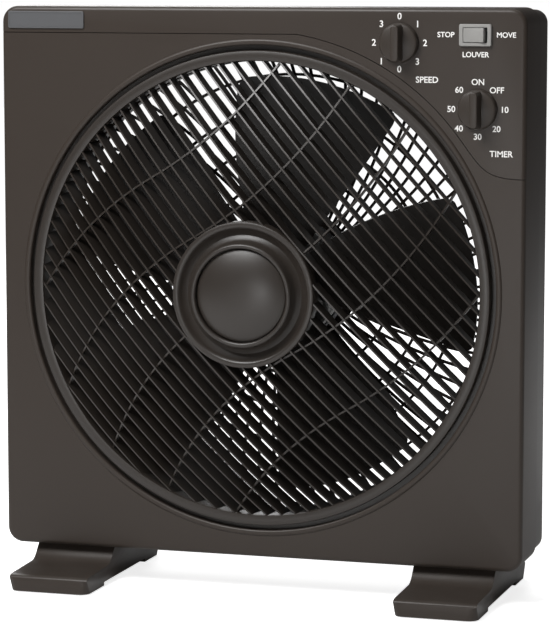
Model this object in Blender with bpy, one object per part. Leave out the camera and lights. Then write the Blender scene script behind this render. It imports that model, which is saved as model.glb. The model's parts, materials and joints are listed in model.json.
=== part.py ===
"""Box fan with a motor-driven louver wheel: a two-part plastic case on two feet, with a five-blade
impeller in a duct and, in front of it, a domed wheel of slats that turns slowly to swirl the air.

X runs to the right, Y from front to back and Z up. Every mesh is drawn with its y as the depth
behind the front face, and each object stands at y = FRONT_Y on its own axis."""

import math

import bmesh
import bpy
from mathutils import Matrix, Vector

# Driving dimensions, in metres.
WIDTH = 0.370
FACE_HEIGHT = 0.376
FLOOR_GAP = 0.025
FRONT_Y = -0.029
FRONT_DEPTH = 0.044
BACK_DEPTH = 0.079
FACE_THICK = 0.005
WALL = 0.0025
CORNER = 0.011
GAP = 0.0003
ROUND_SEGMENTS = 60
SMALL_SEGMENTS = 10
SLAT_STEPS, BAR_STEPS = 2, 4
BACK_INSET = 0.002

FAN_Z = 0.2098
OPENING_R = 0.1658
RIM_IN, RIM_OUT, RIM_RUN = 0.155, 0.1622, 0.168
RIM_BACK = 0.0128
HUB_R = 0.0494
CAP_R = 0.0312
DOME_FRONT = -0.033
DOME_RIM = -0.002

SLAT_PITCH = 0.00835
SLAT_THICK = 0.0014
SLAT_DEPTH = 0.015
SLAT_ANGLE = math.radians(-48)
SLAT_FAN = 0.3
CROSS_PITCH = 0.0515
CROSS_LEAN = 0.22
CROSS_R = 0.25
CROSS_SINK, CROSS_DEPTH, CROSS_THICK = 0.003, 0.005, 0.0016

IMPELLER_R = 0.1440
IMPELLER_HUB_R = 0.034
BLADES = 5
BLADE_TURN, BLADE_SWEEP = math.radians(10.6), math.radians(-6.4)
BLADE_HALF, BLADE_TAPER = math.radians(29.6), math.radians(7.3)
BLADE_MIDDLE, BLADE_THICK = 0.0375, 0.0022
DUCT_IN, DUCT_START, DUCT_THROAT, DUCT_WALL = 0.1545, 0.018, 0.028, 0.002
INLET_IN = 0.1680

MOTOR_R = 0.042
SHAFT_R = 0.004

PANEL_THICK = 0.0022
PANEL_SINK = 0.0025
SEAM_Z = 0.3826
SEAM_R = 0.1749
SEAM_END_ANGLE = math.radians(36)
SEAM_SIDE_Z = 0.2883

SPEED_AT = (0.0987, 0.3777)
TIMER_AT = (0.1523, 0.3343)
ROCKER_AT = (0.1505, 0.3833)
KNOB_R = 0.0133
BADGE_AT, BADGE_SIZE = (-0.1522, 0.3916), (0.0555, 0.0118)

FOOT_X = 0.1366
FOOT_WIDTH = 0.057
FOOT_FRONT = -0.046
FOOT_BACK = 0.104
PAD_DEPTHS = (-0.030, 0.088)
FOOT_SCREW_DEPTHS = (0.024, 0.064)

CASE_SCREW_X, CASE_SCREW_LOW, CASE_SCREW_HIGH = 0.168, 0.045, 0.382
GRILLE_SCREW_R = 0.1740
GRILLE_OPEN_R, GRILLE_R, GRILLE_HUB_R = 0.166, 0.1775, 0.046
GRILLE_RIBS, GRILLE_RIB, GRILLE_THICK = 24, 0.0032, 0.0025
GRILLE_BANDS, GRILLE_BAND = (0.086, 0.126), 0.003
GRILLE_HUB_DEPTH, GRILLE_SWIRL = 0.0955, math.radians(12)

ROLLER_ROOT_R = 0.0045
ROLLER_ANGLES = [math.radians(a) for a in (90, 210, 330)]
DRIVE_R = 0.012
DRIVE_ANGLE = math.radians(135)
LOUVER_MOTOR_R = 0.021
LOUVER_EAR = 0.027

GLAND_AT = (-0.150, 0.052)
CAPACITOR_AT = (0.146, 0.062)
ROCKER_PIVOT = 0.0030
ROCKER_TILT = math.radians(-8)


# Finishes: name, colour, roughness, metallic.
FINISHES = {
    "case": ((0.052, 0.048, 0.045), 0.42, 0.0),
    "panel": ((0.056, 0.052, 0.049), 0.40, 0.0),
    "louver": ((0.040, 0.037, 0.035), 0.45, 0.0),
    "impeller": ((0.022, 0.021, 0.020), 0.40, 0.0),
    "knob": ((0.030, 0.028, 0.027), 0.38, 0.0),
    "rocker": ((0.30, 0.30, 0.29), 0.40, 0.0),
    "badge": ((0.33, 0.33, 0.33), 0.35, 0.3),
    "steel": ((0.55, 0.55, 0.56), 0.30, 1.0),
    "zinc": ((0.45, 0.45, 0.43), 0.35, 1.0),
    "lamination": ((0.20, 0.20, 0.21), 0.45, 1.0),
    "copper": ((0.60, 0.26, 0.10), 0.35, 0.6),
    "bronze": ((0.45, 0.30, 0.14), 0.40, 1.0),
    "rubber": ((0.015, 0.015, 0.015), 0.80, 0.0),
    "switch": ((0.02, 0.02, 0.022), 0.50, 0.0),
    "film": ((0.55, 0.55, 0.52), 0.50, 0.0),
}


def clear_scene():
    for old in list(bpy.data.objects):
        bpy.data.objects.remove(old, do_unlink=True)


def finish(name):
    found = bpy.data.materials.get(name)
    if found:
        return found
    colour, roughness, metallic = FINISHES[name]
    made = bpy.data.materials.new(name)
    made.use_nodes = True
    shader = made.node_tree.nodes["Principled BSDF"]
    shader.inputs["Base Color"].default_value = (*colour, 1)
    shader.inputs["Roughness"].default_value = roughness
    shader.inputs["Metallic"].default_value = metallic
    return made


def place(name, mesh_data, at, look="case"):
    """An object made of a bmesh, at (x, z), with its faces out and its material set."""
    bmesh.ops.remove_doubles(mesh_data, verts=mesh_data.verts, dist=1e-5)
    bmesh.ops.recalc_face_normals(mesh_data, faces=mesh_data.faces)
    mesh = bpy.data.meshes.new(name)
    mesh_data.to_mesh(mesh)
    mesh_data.free()
    mesh.shade_smooth()
    mesh.set_sharp_from_angle(angle=math.radians(35))
    mesh.materials.append(finish(look))
    made = bpy.data.objects.new(name, mesh)
    made.location = (at[0], FRONT_Y, at[1])
    bpy.context.scene.collection.objects.link(made)
    return made


def apply_boolean(body, tool, operation):
    step = body.modifiers.new(operation.title(), "BOOLEAN")
    step.operation = operation
    step.object = tool
    step.solver = "EXACT"
    bpy.context.view_layer.objects.active = body
    bpy.ops.object.modifier_apply(modifier=step.name)
    bpy.data.objects.remove(tool, do_unlink=True)


def cut(body, *tools):
    for tool in tools:
        apply_boolean(body, tool, "DIFFERENCE")


def fuse(body, *tools):
    for tool in tools:
        apply_boolean(body, tool, "UNION")


def polar(radius, angle, centre=(0, FAN_Z)):
    return centre[0] + radius * math.cos(angle), centre[1] + radius * math.sin(angle)


def rounded_rectangle(width, height, radius, steps=5):
    """Outline of a rectangle with round corners, counter-clockwise from its right side."""
    outline = []
    for quarter, (side_x, side_z) in enumerate(((1, 1), (-1, 1), (-1, -1), (1, -1))):
        for step in range(steps + 1):
            angle = math.pi / 2 * (quarter + step / steps)
            outline.append(
                (
                    side_x * (width / 2 - radius) + radius * math.cos(angle),
                    side_z * (height / 2 - radius) + radius * math.sin(angle),
                )
            )
    return outline


def curve(start, leave, arrive, end, steps):
    """Points of a cubic curve, without its start."""
    found = []
    for step in range(1, steps + 1):
        t = step / steps
        weights = ((1 - t) ** 3, 3 * t * (1 - t) ** 2, 3 * t * t * (1 - t), t**3)
        points = (start, leave, arrive, end)
        found.append(tuple(sum(w * p[i] for w, p in zip(weights, points)) for i in (0, 1)))
    return found


def slab(name, outline, near, far, at=(0, 0), look="case", soft_near=0, soft_far=0, steps=3):
    """A flat outline of (x, z) points made solid from depth near to depth far."""
    made = bmesh.new()
    face = made.faces.new([made.verts.new((x, near, z)) for x, z in outline])
    drawn = bmesh.ops.extrude_face_region(made, geom=[face])
    moved = [v for v in drawn["geom"] if isinstance(v, bmesh.types.BMVert)]
    bmesh.ops.translate(made, verts=moved, vec=(0, far - near, 0))
    for depth, width in ((near, soft_near), (far, soft_far)):
        if not width:
            continue
        edges = [e for e in made.edges if all(abs(v.co.y - depth) < 1e-7 for v in e.verts)]
        bmesh.ops.bevel(made, geom=edges, offset=width, segments=steps, profile=0.5, affect="EDGES")
    return place(name, made, at, look)


def side_slab(name, outline, width, at=(0, 0), look="case", round_front=0.0):
    """An outline of (depth, z) points made solid across a width in X."""
    made = bmesh.new()
    face = made.faces.new([made.verts.new((-width / 2, y, z)) for y, z in outline])
    drawn = bmesh.ops.extrude_face_region(made, geom=[face])
    moved = [v for v in drawn["geom"] if isinstance(v, bmesh.types.BMVert)]
    bmesh.ops.translate(made, verts=moved, vec=(width, 0, 0))
    if round_front:
        ends = (min(y for y, _ in outline), max(y for y, _ in outline))
        posts = [
            e
            for e in made.edges
            if any(all(abs(v.co.y - end) < 1e-6 for v in e.verts) for end in ends)
            and abs(e.verts[0].co.x - e.verts[1].co.x) < 1e-6
        ]
        bmesh.ops.bevel(made, geom=posts, offset=round_front, segments=4, profile=0.5, affect="EDGES")
    return place(name, made, at, look)


def turned(name, profile, at=(0, FAN_Z), look="case", segments=24):
    """A profile of (radius, depth) points spun about its own Y axis."""
    made = bmesh.new()
    points = [made.verts.new((radius, depth, 0)) for radius, depth in profile]
    edges = [made.edges.new(pair) for pair in zip(points, points[1:])]
    if profile[0][0] or profile[-1][0]:
        edges.append(made.edges.new((points[-1], points[0])))
    bmesh.ops.spin(
        made,
        geom=points + edges,
        cent=(0, 0, 0),
        axis=(0, 1, 0),
        angle=2 * math.pi,
        steps=segments,
    )
    return place(name, made, at, look)


def disc(name, radius, near, far, at, look="case", segments=16):
    return turned(name, [(0, near), (radius, near), (radius, far), (0, far)], at, look, segments)


def tube(name, inner, outer, near, far, at, look="case", segments=24):
    profile = [(inner, near), (outer, near), (outer, far), (inner, far)]
    return turned(name, profile, at, look, segments)


def block(name, width, height, near, far, at, look="case", radius=0.001, soft_near=0, soft_far=0):
    outline = rounded_rectangle(width, height, radius, 2)
    return slab(name, outline, near, far, at, look, soft_near, soft_far, 2)


def loft_into(made, sections):
    """Adds one closed solid through sections that have the same number of points."""
    rings = [[made.verts.new(point) for point in section] for section in sections]
    count = len(rings[0])
    for ring, following in zip(rings, rings[1:]):
        for i in range(count):
            j = (i + 1) % count
            made.faces.new((ring[i], ring[j], following[j], following[i]))
    made.faces.new(rings[0][::-1])
    made.faces.new(rings[-1])


def dome_depth(radius):
    """Depth of the louver wheel's front surface at a distance from its axis."""
    rise = (DOME_RIM - DOME_FRONT) / (RIM_IN**2 - HUB_R**2)
    return DOME_FRONT + rise * (radius**2 - HUB_R**2)


def chord(offset, inner, outer):
    """The stretches of a line at this distance from the axis that lie between two radii."""
    far = math.sqrt(outer**2 - offset**2)
    if abs(offset) >= inner:
        return [(-far, far)]
    near = math.sqrt(inner**2 - offset**2)
    return [(-far, -near), (near, far)]


def bar_offset(index, run):
    """How far along the slats a cross bar lies, at a distance across them from the axis."""
    return index * CROSS_PITCH + CROSS_LEAN * run - run * abs(run) / (2 * CROSS_R)


def bar_stretches(index):
    """The stretches of a cross bar that lie between the hub and the rim, both ends sunk in."""
    stretches, runs = [], []
    for millimetre in range(-160, 161):
        run = millimetre / 1000
        if HUB_R - 0.002 < math.hypot(run, bar_offset(index, run)) < RIM_IN + 0.003:
            runs.append(run)
        elif runs:
            stretches.append((runs[0], runs[-1]))
            runs = []
    return stretches


# Case


def panel_zone(name, shift, near, far):
    """The corner of the face that the control panel covers, its seam moved outwards by shift."""
    radius = SEAM_R + shift
    seam_z = SEAM_Z + shift
    start_angle = math.asin((seam_z - FAN_Z) / radius)
    steps = 12
    outline = [(-0.2, seam_z)]
    for step in range(steps + 1):
        angle = start_angle + (SEAM_END_ANGLE - start_angle) * step / steps
        outline.append(polar(radius, angle))
    end = outline[-1]
    lean = 0.026
    leave = (end[0] + lean * math.sin(SEAM_END_ANGLE), end[1] - lean * math.cos(SEAM_END_ANGLE))
    side = (WIDTH / 2 + 0.001, SEAM_SIDE_Z + shift)
    outline += curve(end, leave, (side[0] - lean, side[1]), side, 8)
    outline += [(0.2, side[1]), (0.2, 0.42), (-0.2, 0.42)]
    return slab(name, outline[::-1], near, far)


def case_outer(name, far, look="case"):
    outline = rounded_rectangle(WIDTH, FACE_HEIGHT, CORNER)
    return slab(name, outline, 0, far, (0, FLOOR_GAP + FACE_HEIGHT / 2), look, soft_near=0.003)


def case_screw_places():
    return [(x, z) for z in (CASE_SCREW_LOW, CASE_SCREW_HIGH) for x in (-CASE_SCREW_X, CASE_SCREW_X)]


def louver_motor_place():
    return polar(RIM_RUN + DRIVE_R + 0.0001, DRIVE_ANGLE)


def louver_ear_places():
    x, z = louver_motor_place()
    along = Vector((-math.sin(DRIVE_ANGLE), math.cos(DRIVE_ANGLE)))
    return [(x + side * LOUVER_EAR * along.x, z + side * LOUVER_EAR * along.y) for side in (-1, 1)]


def roller_places():
    return [polar(RIM_RUN + 0.0002 + ROLLER_ROOT_R, angle) for angle in ROLLER_ANGLES]


def foot_screw_places(depth):
    return [(side * FOOT_X, depth) for side in (-1, 1)]


def upright_hole(name, radius, depth, x, low, high, segments=SMALL_SEGMENTS):
    """A round solid along Z, used for the feet's screws and the bosses that take them."""
    made = bmesh.new()
    bmesh.ops.create_cone(
        made,
        cap_ends=True,
        segments=segments,
        radius1=radius,
        radius2=radius,
        depth=high - low,
        matrix=Matrix.Translation((0, depth, (low + high) / 2)),
    )
    return place(name, made, (x, 0))


def make_front_housing():
    centre = (0, FLOOR_GAP + FACE_HEIGHT / 2)
    body = case_outer("front_housing", FRONT_DEPTH)
    hollow = rounded_rectangle(WIDTH - 2 * WALL, FACE_HEIGHT - 2 * WALL, CORNER - WALL)
    cut(body, slab("hollow", hollow, FACE_THICK, FRONT_DEPTH + 0.01, centre))
    for place_at in case_screw_places():
        fuse(body, disc("boss", 0.0045, FACE_THICK - 0.001, FRONT_DEPTH, place_at, segments=SMALL_SEGMENTS))
        cut(body, disc("bore", 0.0017, 0.02, FRONT_DEPTH + 0.01, place_at, segments=8))
    for place_at in louver_ear_places():
        fuse(body, disc("boss", 0.0034, FACE_THICK - 0.001, 0.013, place_at, segments=SMALL_SEGMENTS))
        cut(body, disc("bore", 0.0013, 0.007, 0.02, place_at, segments=8))
    for place_at in roller_places():
        fuse(body, disc("pin", 0.002, FACE_THICK - 0.001, 0.0138, place_at, segments=SMALL_SEGMENTS))
        cut(body, disc("bore", 0.0010, 0.008, 0.02, place_at, segments=8))
    for x, depth in foot_screw_places(FOOT_SCREW_DEPTHS[0]):
        fuse(body, upright_hole("boss", 0.005, depth, x, FLOOR_GAP + 0.001, 0.036))
        cut(body, upright_hole("bore", 0.0017, depth, x, 0.01, 0.05, 8))
    lip = [
        (OPENING_R, FACE_THICK),
        (OPENING_R, 0.0006),
        (OPENING_R + 0.0006, -0.0005),
        (OPENING_R + 0.0018, -0.001),
        (OPENING_R + 0.0032, -0.0006),
        (OPENING_R + 0.0040, 0.0006),
        (OPENING_R + 0.0040, FACE_THICK),
    ]
    cut(body, disc("opening", OPENING_R + 0.002, -0.01, 0.02, (0, FAN_Z), segments=ROUND_SEGMENTS))
    cut(body, panel_zone("recess", 0, -0.01, PANEL_SINK))
    fuse(body, turned("lip", lip, segments=ROUND_SEGMENTS))
    cut(body, disc("speed_hole", 0.0045, -0.01, 0.02, SPEED_AT, segments=SMALL_SEGMENTS))
    cut(body, disc("timer_hole", 0.0045, -0.01, 0.02, TIMER_AT, segments=SMALL_SEGMENTS))
    cut(body, block("rocker_hole", 0.0194, 0.0126, -0.01, 0.02, ROCKER_AT))
    return body


def make_control_panel():
    panel = case_outer("control_panel", FRONT_DEPTH, "panel")
    apply_boolean(panel, panel_zone("seam", 0.0004, -0.01, PANEL_THICK), "INTERSECT")
    cut(panel, disc("speed_hole", 0.0045, -0.01, 0.01, SPEED_AT, segments=SMALL_SEGMENTS))
    cut(panel, disc("timer_hole", 0.0045, -0.01, 0.01, TIMER_AT, segments=SMALL_SEGMENTS))
    cut(panel, block("rocker_hole", 0.0194, 0.0126, -0.01, 0.01, ROCKER_AT))
    block("badge_plate", *BADGE_SIZE, -0.0011, -GAP, BADGE_AT, "badge", 0.0012, soft_near=0.0003)


def make_rear_housing():
    centre = (0, FLOOR_GAP + FACE_HEIGHT / 2)
    start = FRONT_DEPTH + GAP
    outer = rounded_rectangle(WIDTH - 2 * BACK_INSET, FACE_HEIGHT - 2 * BACK_INSET, CORNER - BACK_INSET)
    lap_inset = WALL + GAP
    lap = rounded_rectangle(WIDTH - 2 * lap_inset, FACE_HEIGHT - 2 * lap_inset, CORNER - lap_inset)
    inside = BACK_INSET + WALL + 0.0005
    hollow = rounded_rectangle(WIDTH - 2 * inside, FACE_HEIGHT - 2 * inside, CORNER - inside)
    body = slab("rear_housing", outer, start, BACK_DEPTH, centre, soft_far=0.005)
    fuse(body, slab("lap", lap, FRONT_DEPTH - 0.004, FRONT_DEPTH + 0.003, centre))
    cut(body, slab("hollow", hollow, 0.03, BACK_DEPTH - 0.003, centre))
    end = BACK_DEPTH - 0.001
    cut(body, disc("air_way", INLET_IN, 0, 0.1, (0, FAN_Z), segments=ROUND_SEGMENTS))
    for place_at in case_screw_places():
        fuse(body, disc("boss", 0.0065, start + 0.0003, end, place_at, segments=SMALL_SEGMENTS))
        cut(body, disc("bore", 0.0022, 0.03, 0.1, place_at, segments=8))
        cut(body, disc("head_bore", 0.0048, 0.050, 0.1, place_at, segments=SMALL_SEGMENTS))
    for quarter in range(4):
        place_at = polar(GRILLE_SCREW_R, math.radians(45 + 90 * quarter))
        fuse(body, disc("boss", 0.0032, 0.066, end, place_at, segments=SMALL_SEGMENTS))
        cut(body, disc("bore", 0.0015, 0.068, 0.1, place_at, segments=8))
    for x, depth in foot_screw_places(FOOT_SCREW_DEPTHS[1]):
        fuse(body, upright_hole("boss", 0.005, depth, x, FLOOR_GAP + BACK_INSET + 0.001, 0.038))
        cut(body, upright_hole("bore", 0.0017, depth, x, 0.01, 0.05, 8))
    cut(body, disc("gland_hole", 0.006, 0.07, 0.1, GLAND_AT, segments=16))
    return body


def make_air_duct():
    """A ring round the blades that widens to the rear opening and stands on the rear wall."""
    end = BACK_DEPTH - 0.003 - GAP
    profile = [
        (DUCT_IN, DUCT_START),
        (DUCT_IN + DUCT_WALL, DUCT_START),
        (DUCT_IN + DUCT_WALL, DUCT_THROAT),
        (INLET_IN + DUCT_WALL, end),
        (INLET_IN, end),
        (DUCT_IN, DUCT_THROAT),
    ]
    turned("air_duct", profile, segments=ROUND_SEGMENTS)


def make_rear_grille():
    """A spiral-ribbed dome drawn as one surface, then given its thickness."""
    flange_depth = BACK_DEPTH + GAP + GRILLE_THICK
    radii = [GRILLE_HUB_R]
    for band in GRILLE_BANDS:
        radii += [band, band + GRILLE_BAND]
    radii += [GRILLE_OPEN_R, GRILLE_R]

    def depth_at(radius):
        share = min(1, max(0, (GRILLE_OPEN_R - radius) / (GRILLE_OPEN_R - GRILLE_HUB_R)))
        return flange_depth + (GRILLE_HUB_DEPTH - flange_depth) * math.sin(share * math.pi / 2)

    def point(radius, column):
        swirl = GRILLE_SWIRL * (radius - GRILLE_HUB_R) / (GRILLE_OPEN_R - GRILLE_HUB_R)
        angle = 2 * math.pi * (column // 2) / GRILLE_RIBS + swirl
        width = min(GRILLE_RIB, math.pi * radius / GRILLE_RIBS)
        angle += (column % 2) * width / radius
        x, z = polar(radius, angle, (0, 0))
        return x, depth_at(radius), z

    made = bmesh.new()
    columns = 2 * GRILLE_RIBS
    grid = [[made.verts.new(point(radius, column)) for column in range(columns)] for radius in radii]
    for row, (ring, following) in enumerate(zip(grid, grid[1:])):
        for column in range(columns):
            if row % 2 == 0 and column % 2 and row < len(grid) - 2:
                continue
            after = (column + 1) % columns
            made.faces.new((ring[column], ring[after], following[after], following[column]))
    made.faces.new(grid[0])
    grille = place("rear_grille", made, (0, FAN_Z))
    wall = grille.modifiers.new("Thickness", "SOLIDIFY")
    wall.thickness = GRILLE_THICK
    wall.offset = -1
    bpy.context.view_layer.objects.active = grille
    bpy.ops.object.modifier_apply(modifier=wall.name)
    for quarter in range(4):
        place_at = polar(GRILLE_SCREW_R, math.radians(45 + 90 * quarter))
        cut(grille, disc("hole", 0.0020, 0.05, 0.12, place_at, segments=8))
    for place_at in motor_screw_places():
        cut(grille, disc("hole", 0.0021, 0.05, 0.12, place_at, segments=8))
    return grille


def motor_screw_places():
    return [polar(0.030, math.radians(angle)) for angle in (0, 180)]


# Feet


def make_foot(name, x):
    low = 0.0006
    outline = [(FOOT_FRONT, low), (FOOT_FRONT, 0.0095)]
    outline += curve((FOOT_FRONT, 0.0095), (FOOT_FRONT, 0.0115), (-0.043, 0.012), (-0.039, 0.0122), 3)
    outline += [(-0.020, 0.0128)]
    outline += curve((-0.006, 0.0132), (0.004, 0.0138), (0.004, 0.0200), (0.011, 0.0247), 6)
    outline += [(FRONT_DEPTH, FLOOR_GAP - GAP), (FRONT_DEPTH, FLOOR_GAP + BACK_INSET - GAP)]
    outline += [(0.070, FLOOR_GAP + BACK_INSET - GAP)]
    outline += curve((0.070, 0.0267), (0.076, 0.0200), (0.076, 0.0138), (0.084, 0.0132), 5)
    outline += [(0.098, 0.0120), (FOOT_BACK, 0.0095), (FOOT_BACK, low)]
    outline += [(0.072, low), (0.072, 0.003), (-0.012, 0.003), (-0.012, low)]
    foot = side_slab(name, outline, FOOT_WIDTH, (x, 0), round_front=0.007)
    for depth in PAD_DEPTHS:
        cut(foot, upright_hole("seat", 0.0075, depth, x, -0.01, 0.0027, 20))
    for depth in FOOT_SCREW_DEPTHS:
        cut(foot, upright_hole("head_bore", 0.0045, depth, x, -0.01, 0.016, 12))
        cut(foot, upright_hole("bore", 0.0022, depth, x, 0.01, 0.05, 8))
    return foot


def make_feet():
    make_foot("left_foot", -FOOT_X)
    make_foot("right_foot", FOOT_X)
    sides = (("left", -FOOT_X), ("right", FOOT_X))
    for side, x in sides:
        for end, depth in zip(("front", "back"), PAD_DEPTHS):
            pad = upright_hole(f"foot_pad_{side}_{end}", 0.0072, depth, x, 0, 0.0024, 20)
            pad.data.materials[0] = finish("rubber")
        for end, depth in zip(("front", "back"), FOOT_SCREW_DEPTHS):
            screw = upright_hole(f"foot_screw_{side}_{end}", 0.004, depth, x, 0.0125, 0.0157, 12)
            fuse(screw, upright_hole("shank", 0.0014, depth, x, 0.015, 0.034, 8))
            screw.data.materials[0] = finish("zinc")


def screw(name, at, head_r, head_near, head_far, shank_r, tip, look="zinc"):
    """A pan-head screw put in from the back."""
    profile = [
        (0, tip),
        (shank_r, tip),
        (shank_r, head_near),
        (head_r, head_near),
        (head_r, head_far - 0.0006),
        (head_r - 0.0006, head_far),
        (0, head_far),
    ]
    return turned(name, profile, at, look, SMALL_SEGMENTS)


def make_case_screws():
    names = ("lower_left", "lower_right", "upper_left", "upper_right")
    for name, at in zip(names, case_screw_places()):
        screw(f"housing_screw_{name}", at, 0.0042, 0.0503, 0.0533, 0.0014, 0.024)
    for quarter, name in enumerate(("upper_right", "upper_left", "lower_left", "lower_right")):
        at = polar(GRILLE_SCREW_R, math.radians(45 + 90 * quarter))
        rear = BACK_DEPTH + GAP + GRILLE_THICK + GAP
        screw(f"grille_screw_{name}", at, 0.0033, rear, rear + 0.0022, 0.0012, 0.070)


# Louver wheel and its drive


def make_louver_wheel():
    rim = [
        (RIM_IN, RIM_BACK),
        (RIM_IN, -0.0018),
        (RIM_IN + 0.0012, -0.003),
        (RIM_OUT - 0.0012, -0.003),
        (RIM_OUT, -0.0018),
        (RIM_OUT, 0.0055),
        (RIM_RUN, 0.0055),
        (RIM_RUN, 0.0080),
        (RIM_OUT - 0.002, 0.0080),
        (RIM_OUT - 0.002, RIM_BACK),
    ]
    wheel = turned("louver_wheel", rim, look="louver", segments=48)
    hub = [
        (0, -0.0335),
        (CAP_R + 0.0005, -0.0335),
        (CAP_R + 0.0005, -0.0385),
        (0.0330, -0.0396),
        (0.0345, -0.0386),
        (0.0360, -0.0315),
        (0.0400, -0.0295),
        (0.0440, -0.0315),
        (0.0452, -0.0343),
        (HUB_R - 0.0008, -0.0343),
        (HUB_R, -0.0335),
        (HUB_R, -0.0240),
        (0.0465, -0.0240),
        (0.0465, -0.0268),
        (0.0350, -0.0268),
        (0.0330, -0.0303),
        (0, -0.0303),
    ]
    along = Vector((math.cos(SLAT_ANGLE), math.sin(SLAT_ANGLE)))
    across = Vector((-math.sin(SLAT_ANGLE), math.cos(SLAT_ANGLE)))
    slats = bmesh.new()
    count = int((RIM_IN - 0.004) / SLAT_PITCH)
    lean = SLAT_FAN * SLAT_DEPTH * 2 * (DOME_RIM - DOME_FRONT) / (RIM_IN**2 - HUB_R**2)
    for index in range(-count, count + 1):
        offset = index * SLAT_PITCH
        for start, end in chord(offset, HUB_R - 0.0015, RIM_IN + 0.0015):
            sections = []
            for step in range(SLAT_STEPS + 1):
                run = start + (end - start) * step / SLAT_STEPS
                depth = dome_depth(math.hypot(run, offset))
                section = []
                for side, back in ((-1, 0), (1, 0), (1, 1), (-1, 1)):
                    reach = offset * (1 - back * lean) + side * SLAT_THICK / 2
                    spot = along * run + across * reach
                    section.append((spot.x, depth + back * SLAT_DEPTH, spot.y))
                sections.append(section)
            loft_into(slats, sections)
    bars = bmesh.new()
    for index in range(-2, 3):
        for start, end in bar_stretches(index):
            sections = []
            for step in range(BAR_STEPS + 1):
                run = start + (end - start) * step / BAR_STEPS
                offset = bar_offset(index, run)
                depth = dome_depth(math.hypot(run, offset)) + CROSS_SINK
                section = []
                for side, back in ((-1, 0), (1, 0), (1, 1), (-1, 1)):
                    spot = across * run + along * (offset + side * CROSS_THICK / 2)
                    section.append((spot.x, depth + back * CROSS_DEPTH, spot.y))
                sections.append(section)
            loft_into(bars, sections)
    slat_set = place("slats", slats, (0, FAN_Z), "louver")
    fuse(slat_set, place("bars", bars, (0, FAN_Z), "louver"))
    fuse(wheel, slat_set, turned("hub", hub, look="louver", segments=28))
    cap = [
        (0, -0.0424),
        (0.011, -0.0419),
        (0.020, -0.0406),
        (0.027, -0.0386),
        (0.0300, -0.0372),
        (CAP_R, -0.0360),
        (CAP_R, -0.0335 - GAP),
        (0, -0.0335 - GAP),
    ]
    turned("louver_cap", cap, look="louver", segments=24)
    return wheel


def make_louver_drive():
    at = louver_motor_place()
    drive = [
        (0.0019, 0.0052 + GAP),
        (DRIVE_R - 0.0012, 0.0052 + GAP),
        (DRIVE_R, 0.0062),
        (DRIVE_R, 0.0088),
        (DRIVE_R - 0.0012, 0.0098),
        (0.0019, 0.0098),
    ]
    turned("louver_drive_wheel", drive, at, "rubber", 24)
    disc("louver_motor_shaft", 0.0017, 0.0062, 0.018, at, "steel", 12)
    motor = disc("louver_motor", LOUVER_MOTOR_R, 0.0133, 0.028, at, "zinc", 24)
    ears = louver_ear_places()
    length = 2 * LOUVER_EAR + 0.008
    turn = Matrix.Rotation(DRIVE_ANGLE, 2)
    corners = rounded_rectangle(0.009, length, 0.003, 2)
    outline = [tuple(turn @ Vector(corner)) for corner in corners]
    fuse(motor, slab("ears", outline, 0.0133, 0.0145, at, "zinc"))
    fuse(motor, disc("nose", 0.0045, 0.0108, 0.0135, at, "zinc", 16))
    cut(motor, disc("shaft_hole", 0.0021, 0.0, 0.0205, at, segments=SMALL_SEGMENTS))
    for number, ear in enumerate(ears, 1):
        cut(motor, disc("ear_hole", 0.0016, 0.0, 0.0200, ear, segments=8))
        screw(f"louver_motor_screw_{number}", ear, 0.0030, 0.0148, 0.0168, 0.0010, 0.0085)
    for number, spot in enumerate(roller_places(), 1):
        root, flange = ROLLER_ROOT_R, ROLLER_ROOT_R + 0.002
        roller = [
            (0.0023, FACE_THICK + GAP),
            (root, FACE_THICK + GAP),
            (root, 0.0083),
            (flange, 0.0083),
            (flange, 0.0098),
            (root, 0.0098),
            (root, 0.0135),
            (0.0023, 0.0135),
        ]
        turned(f"louver_roller_{number}", roller, spot, "film", 14)
        screw(f"roller_screw_{number}", spot, 0.0038, 0.0141, 0.0161, 0.0007, 0.0095)


# Impeller and motor


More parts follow.
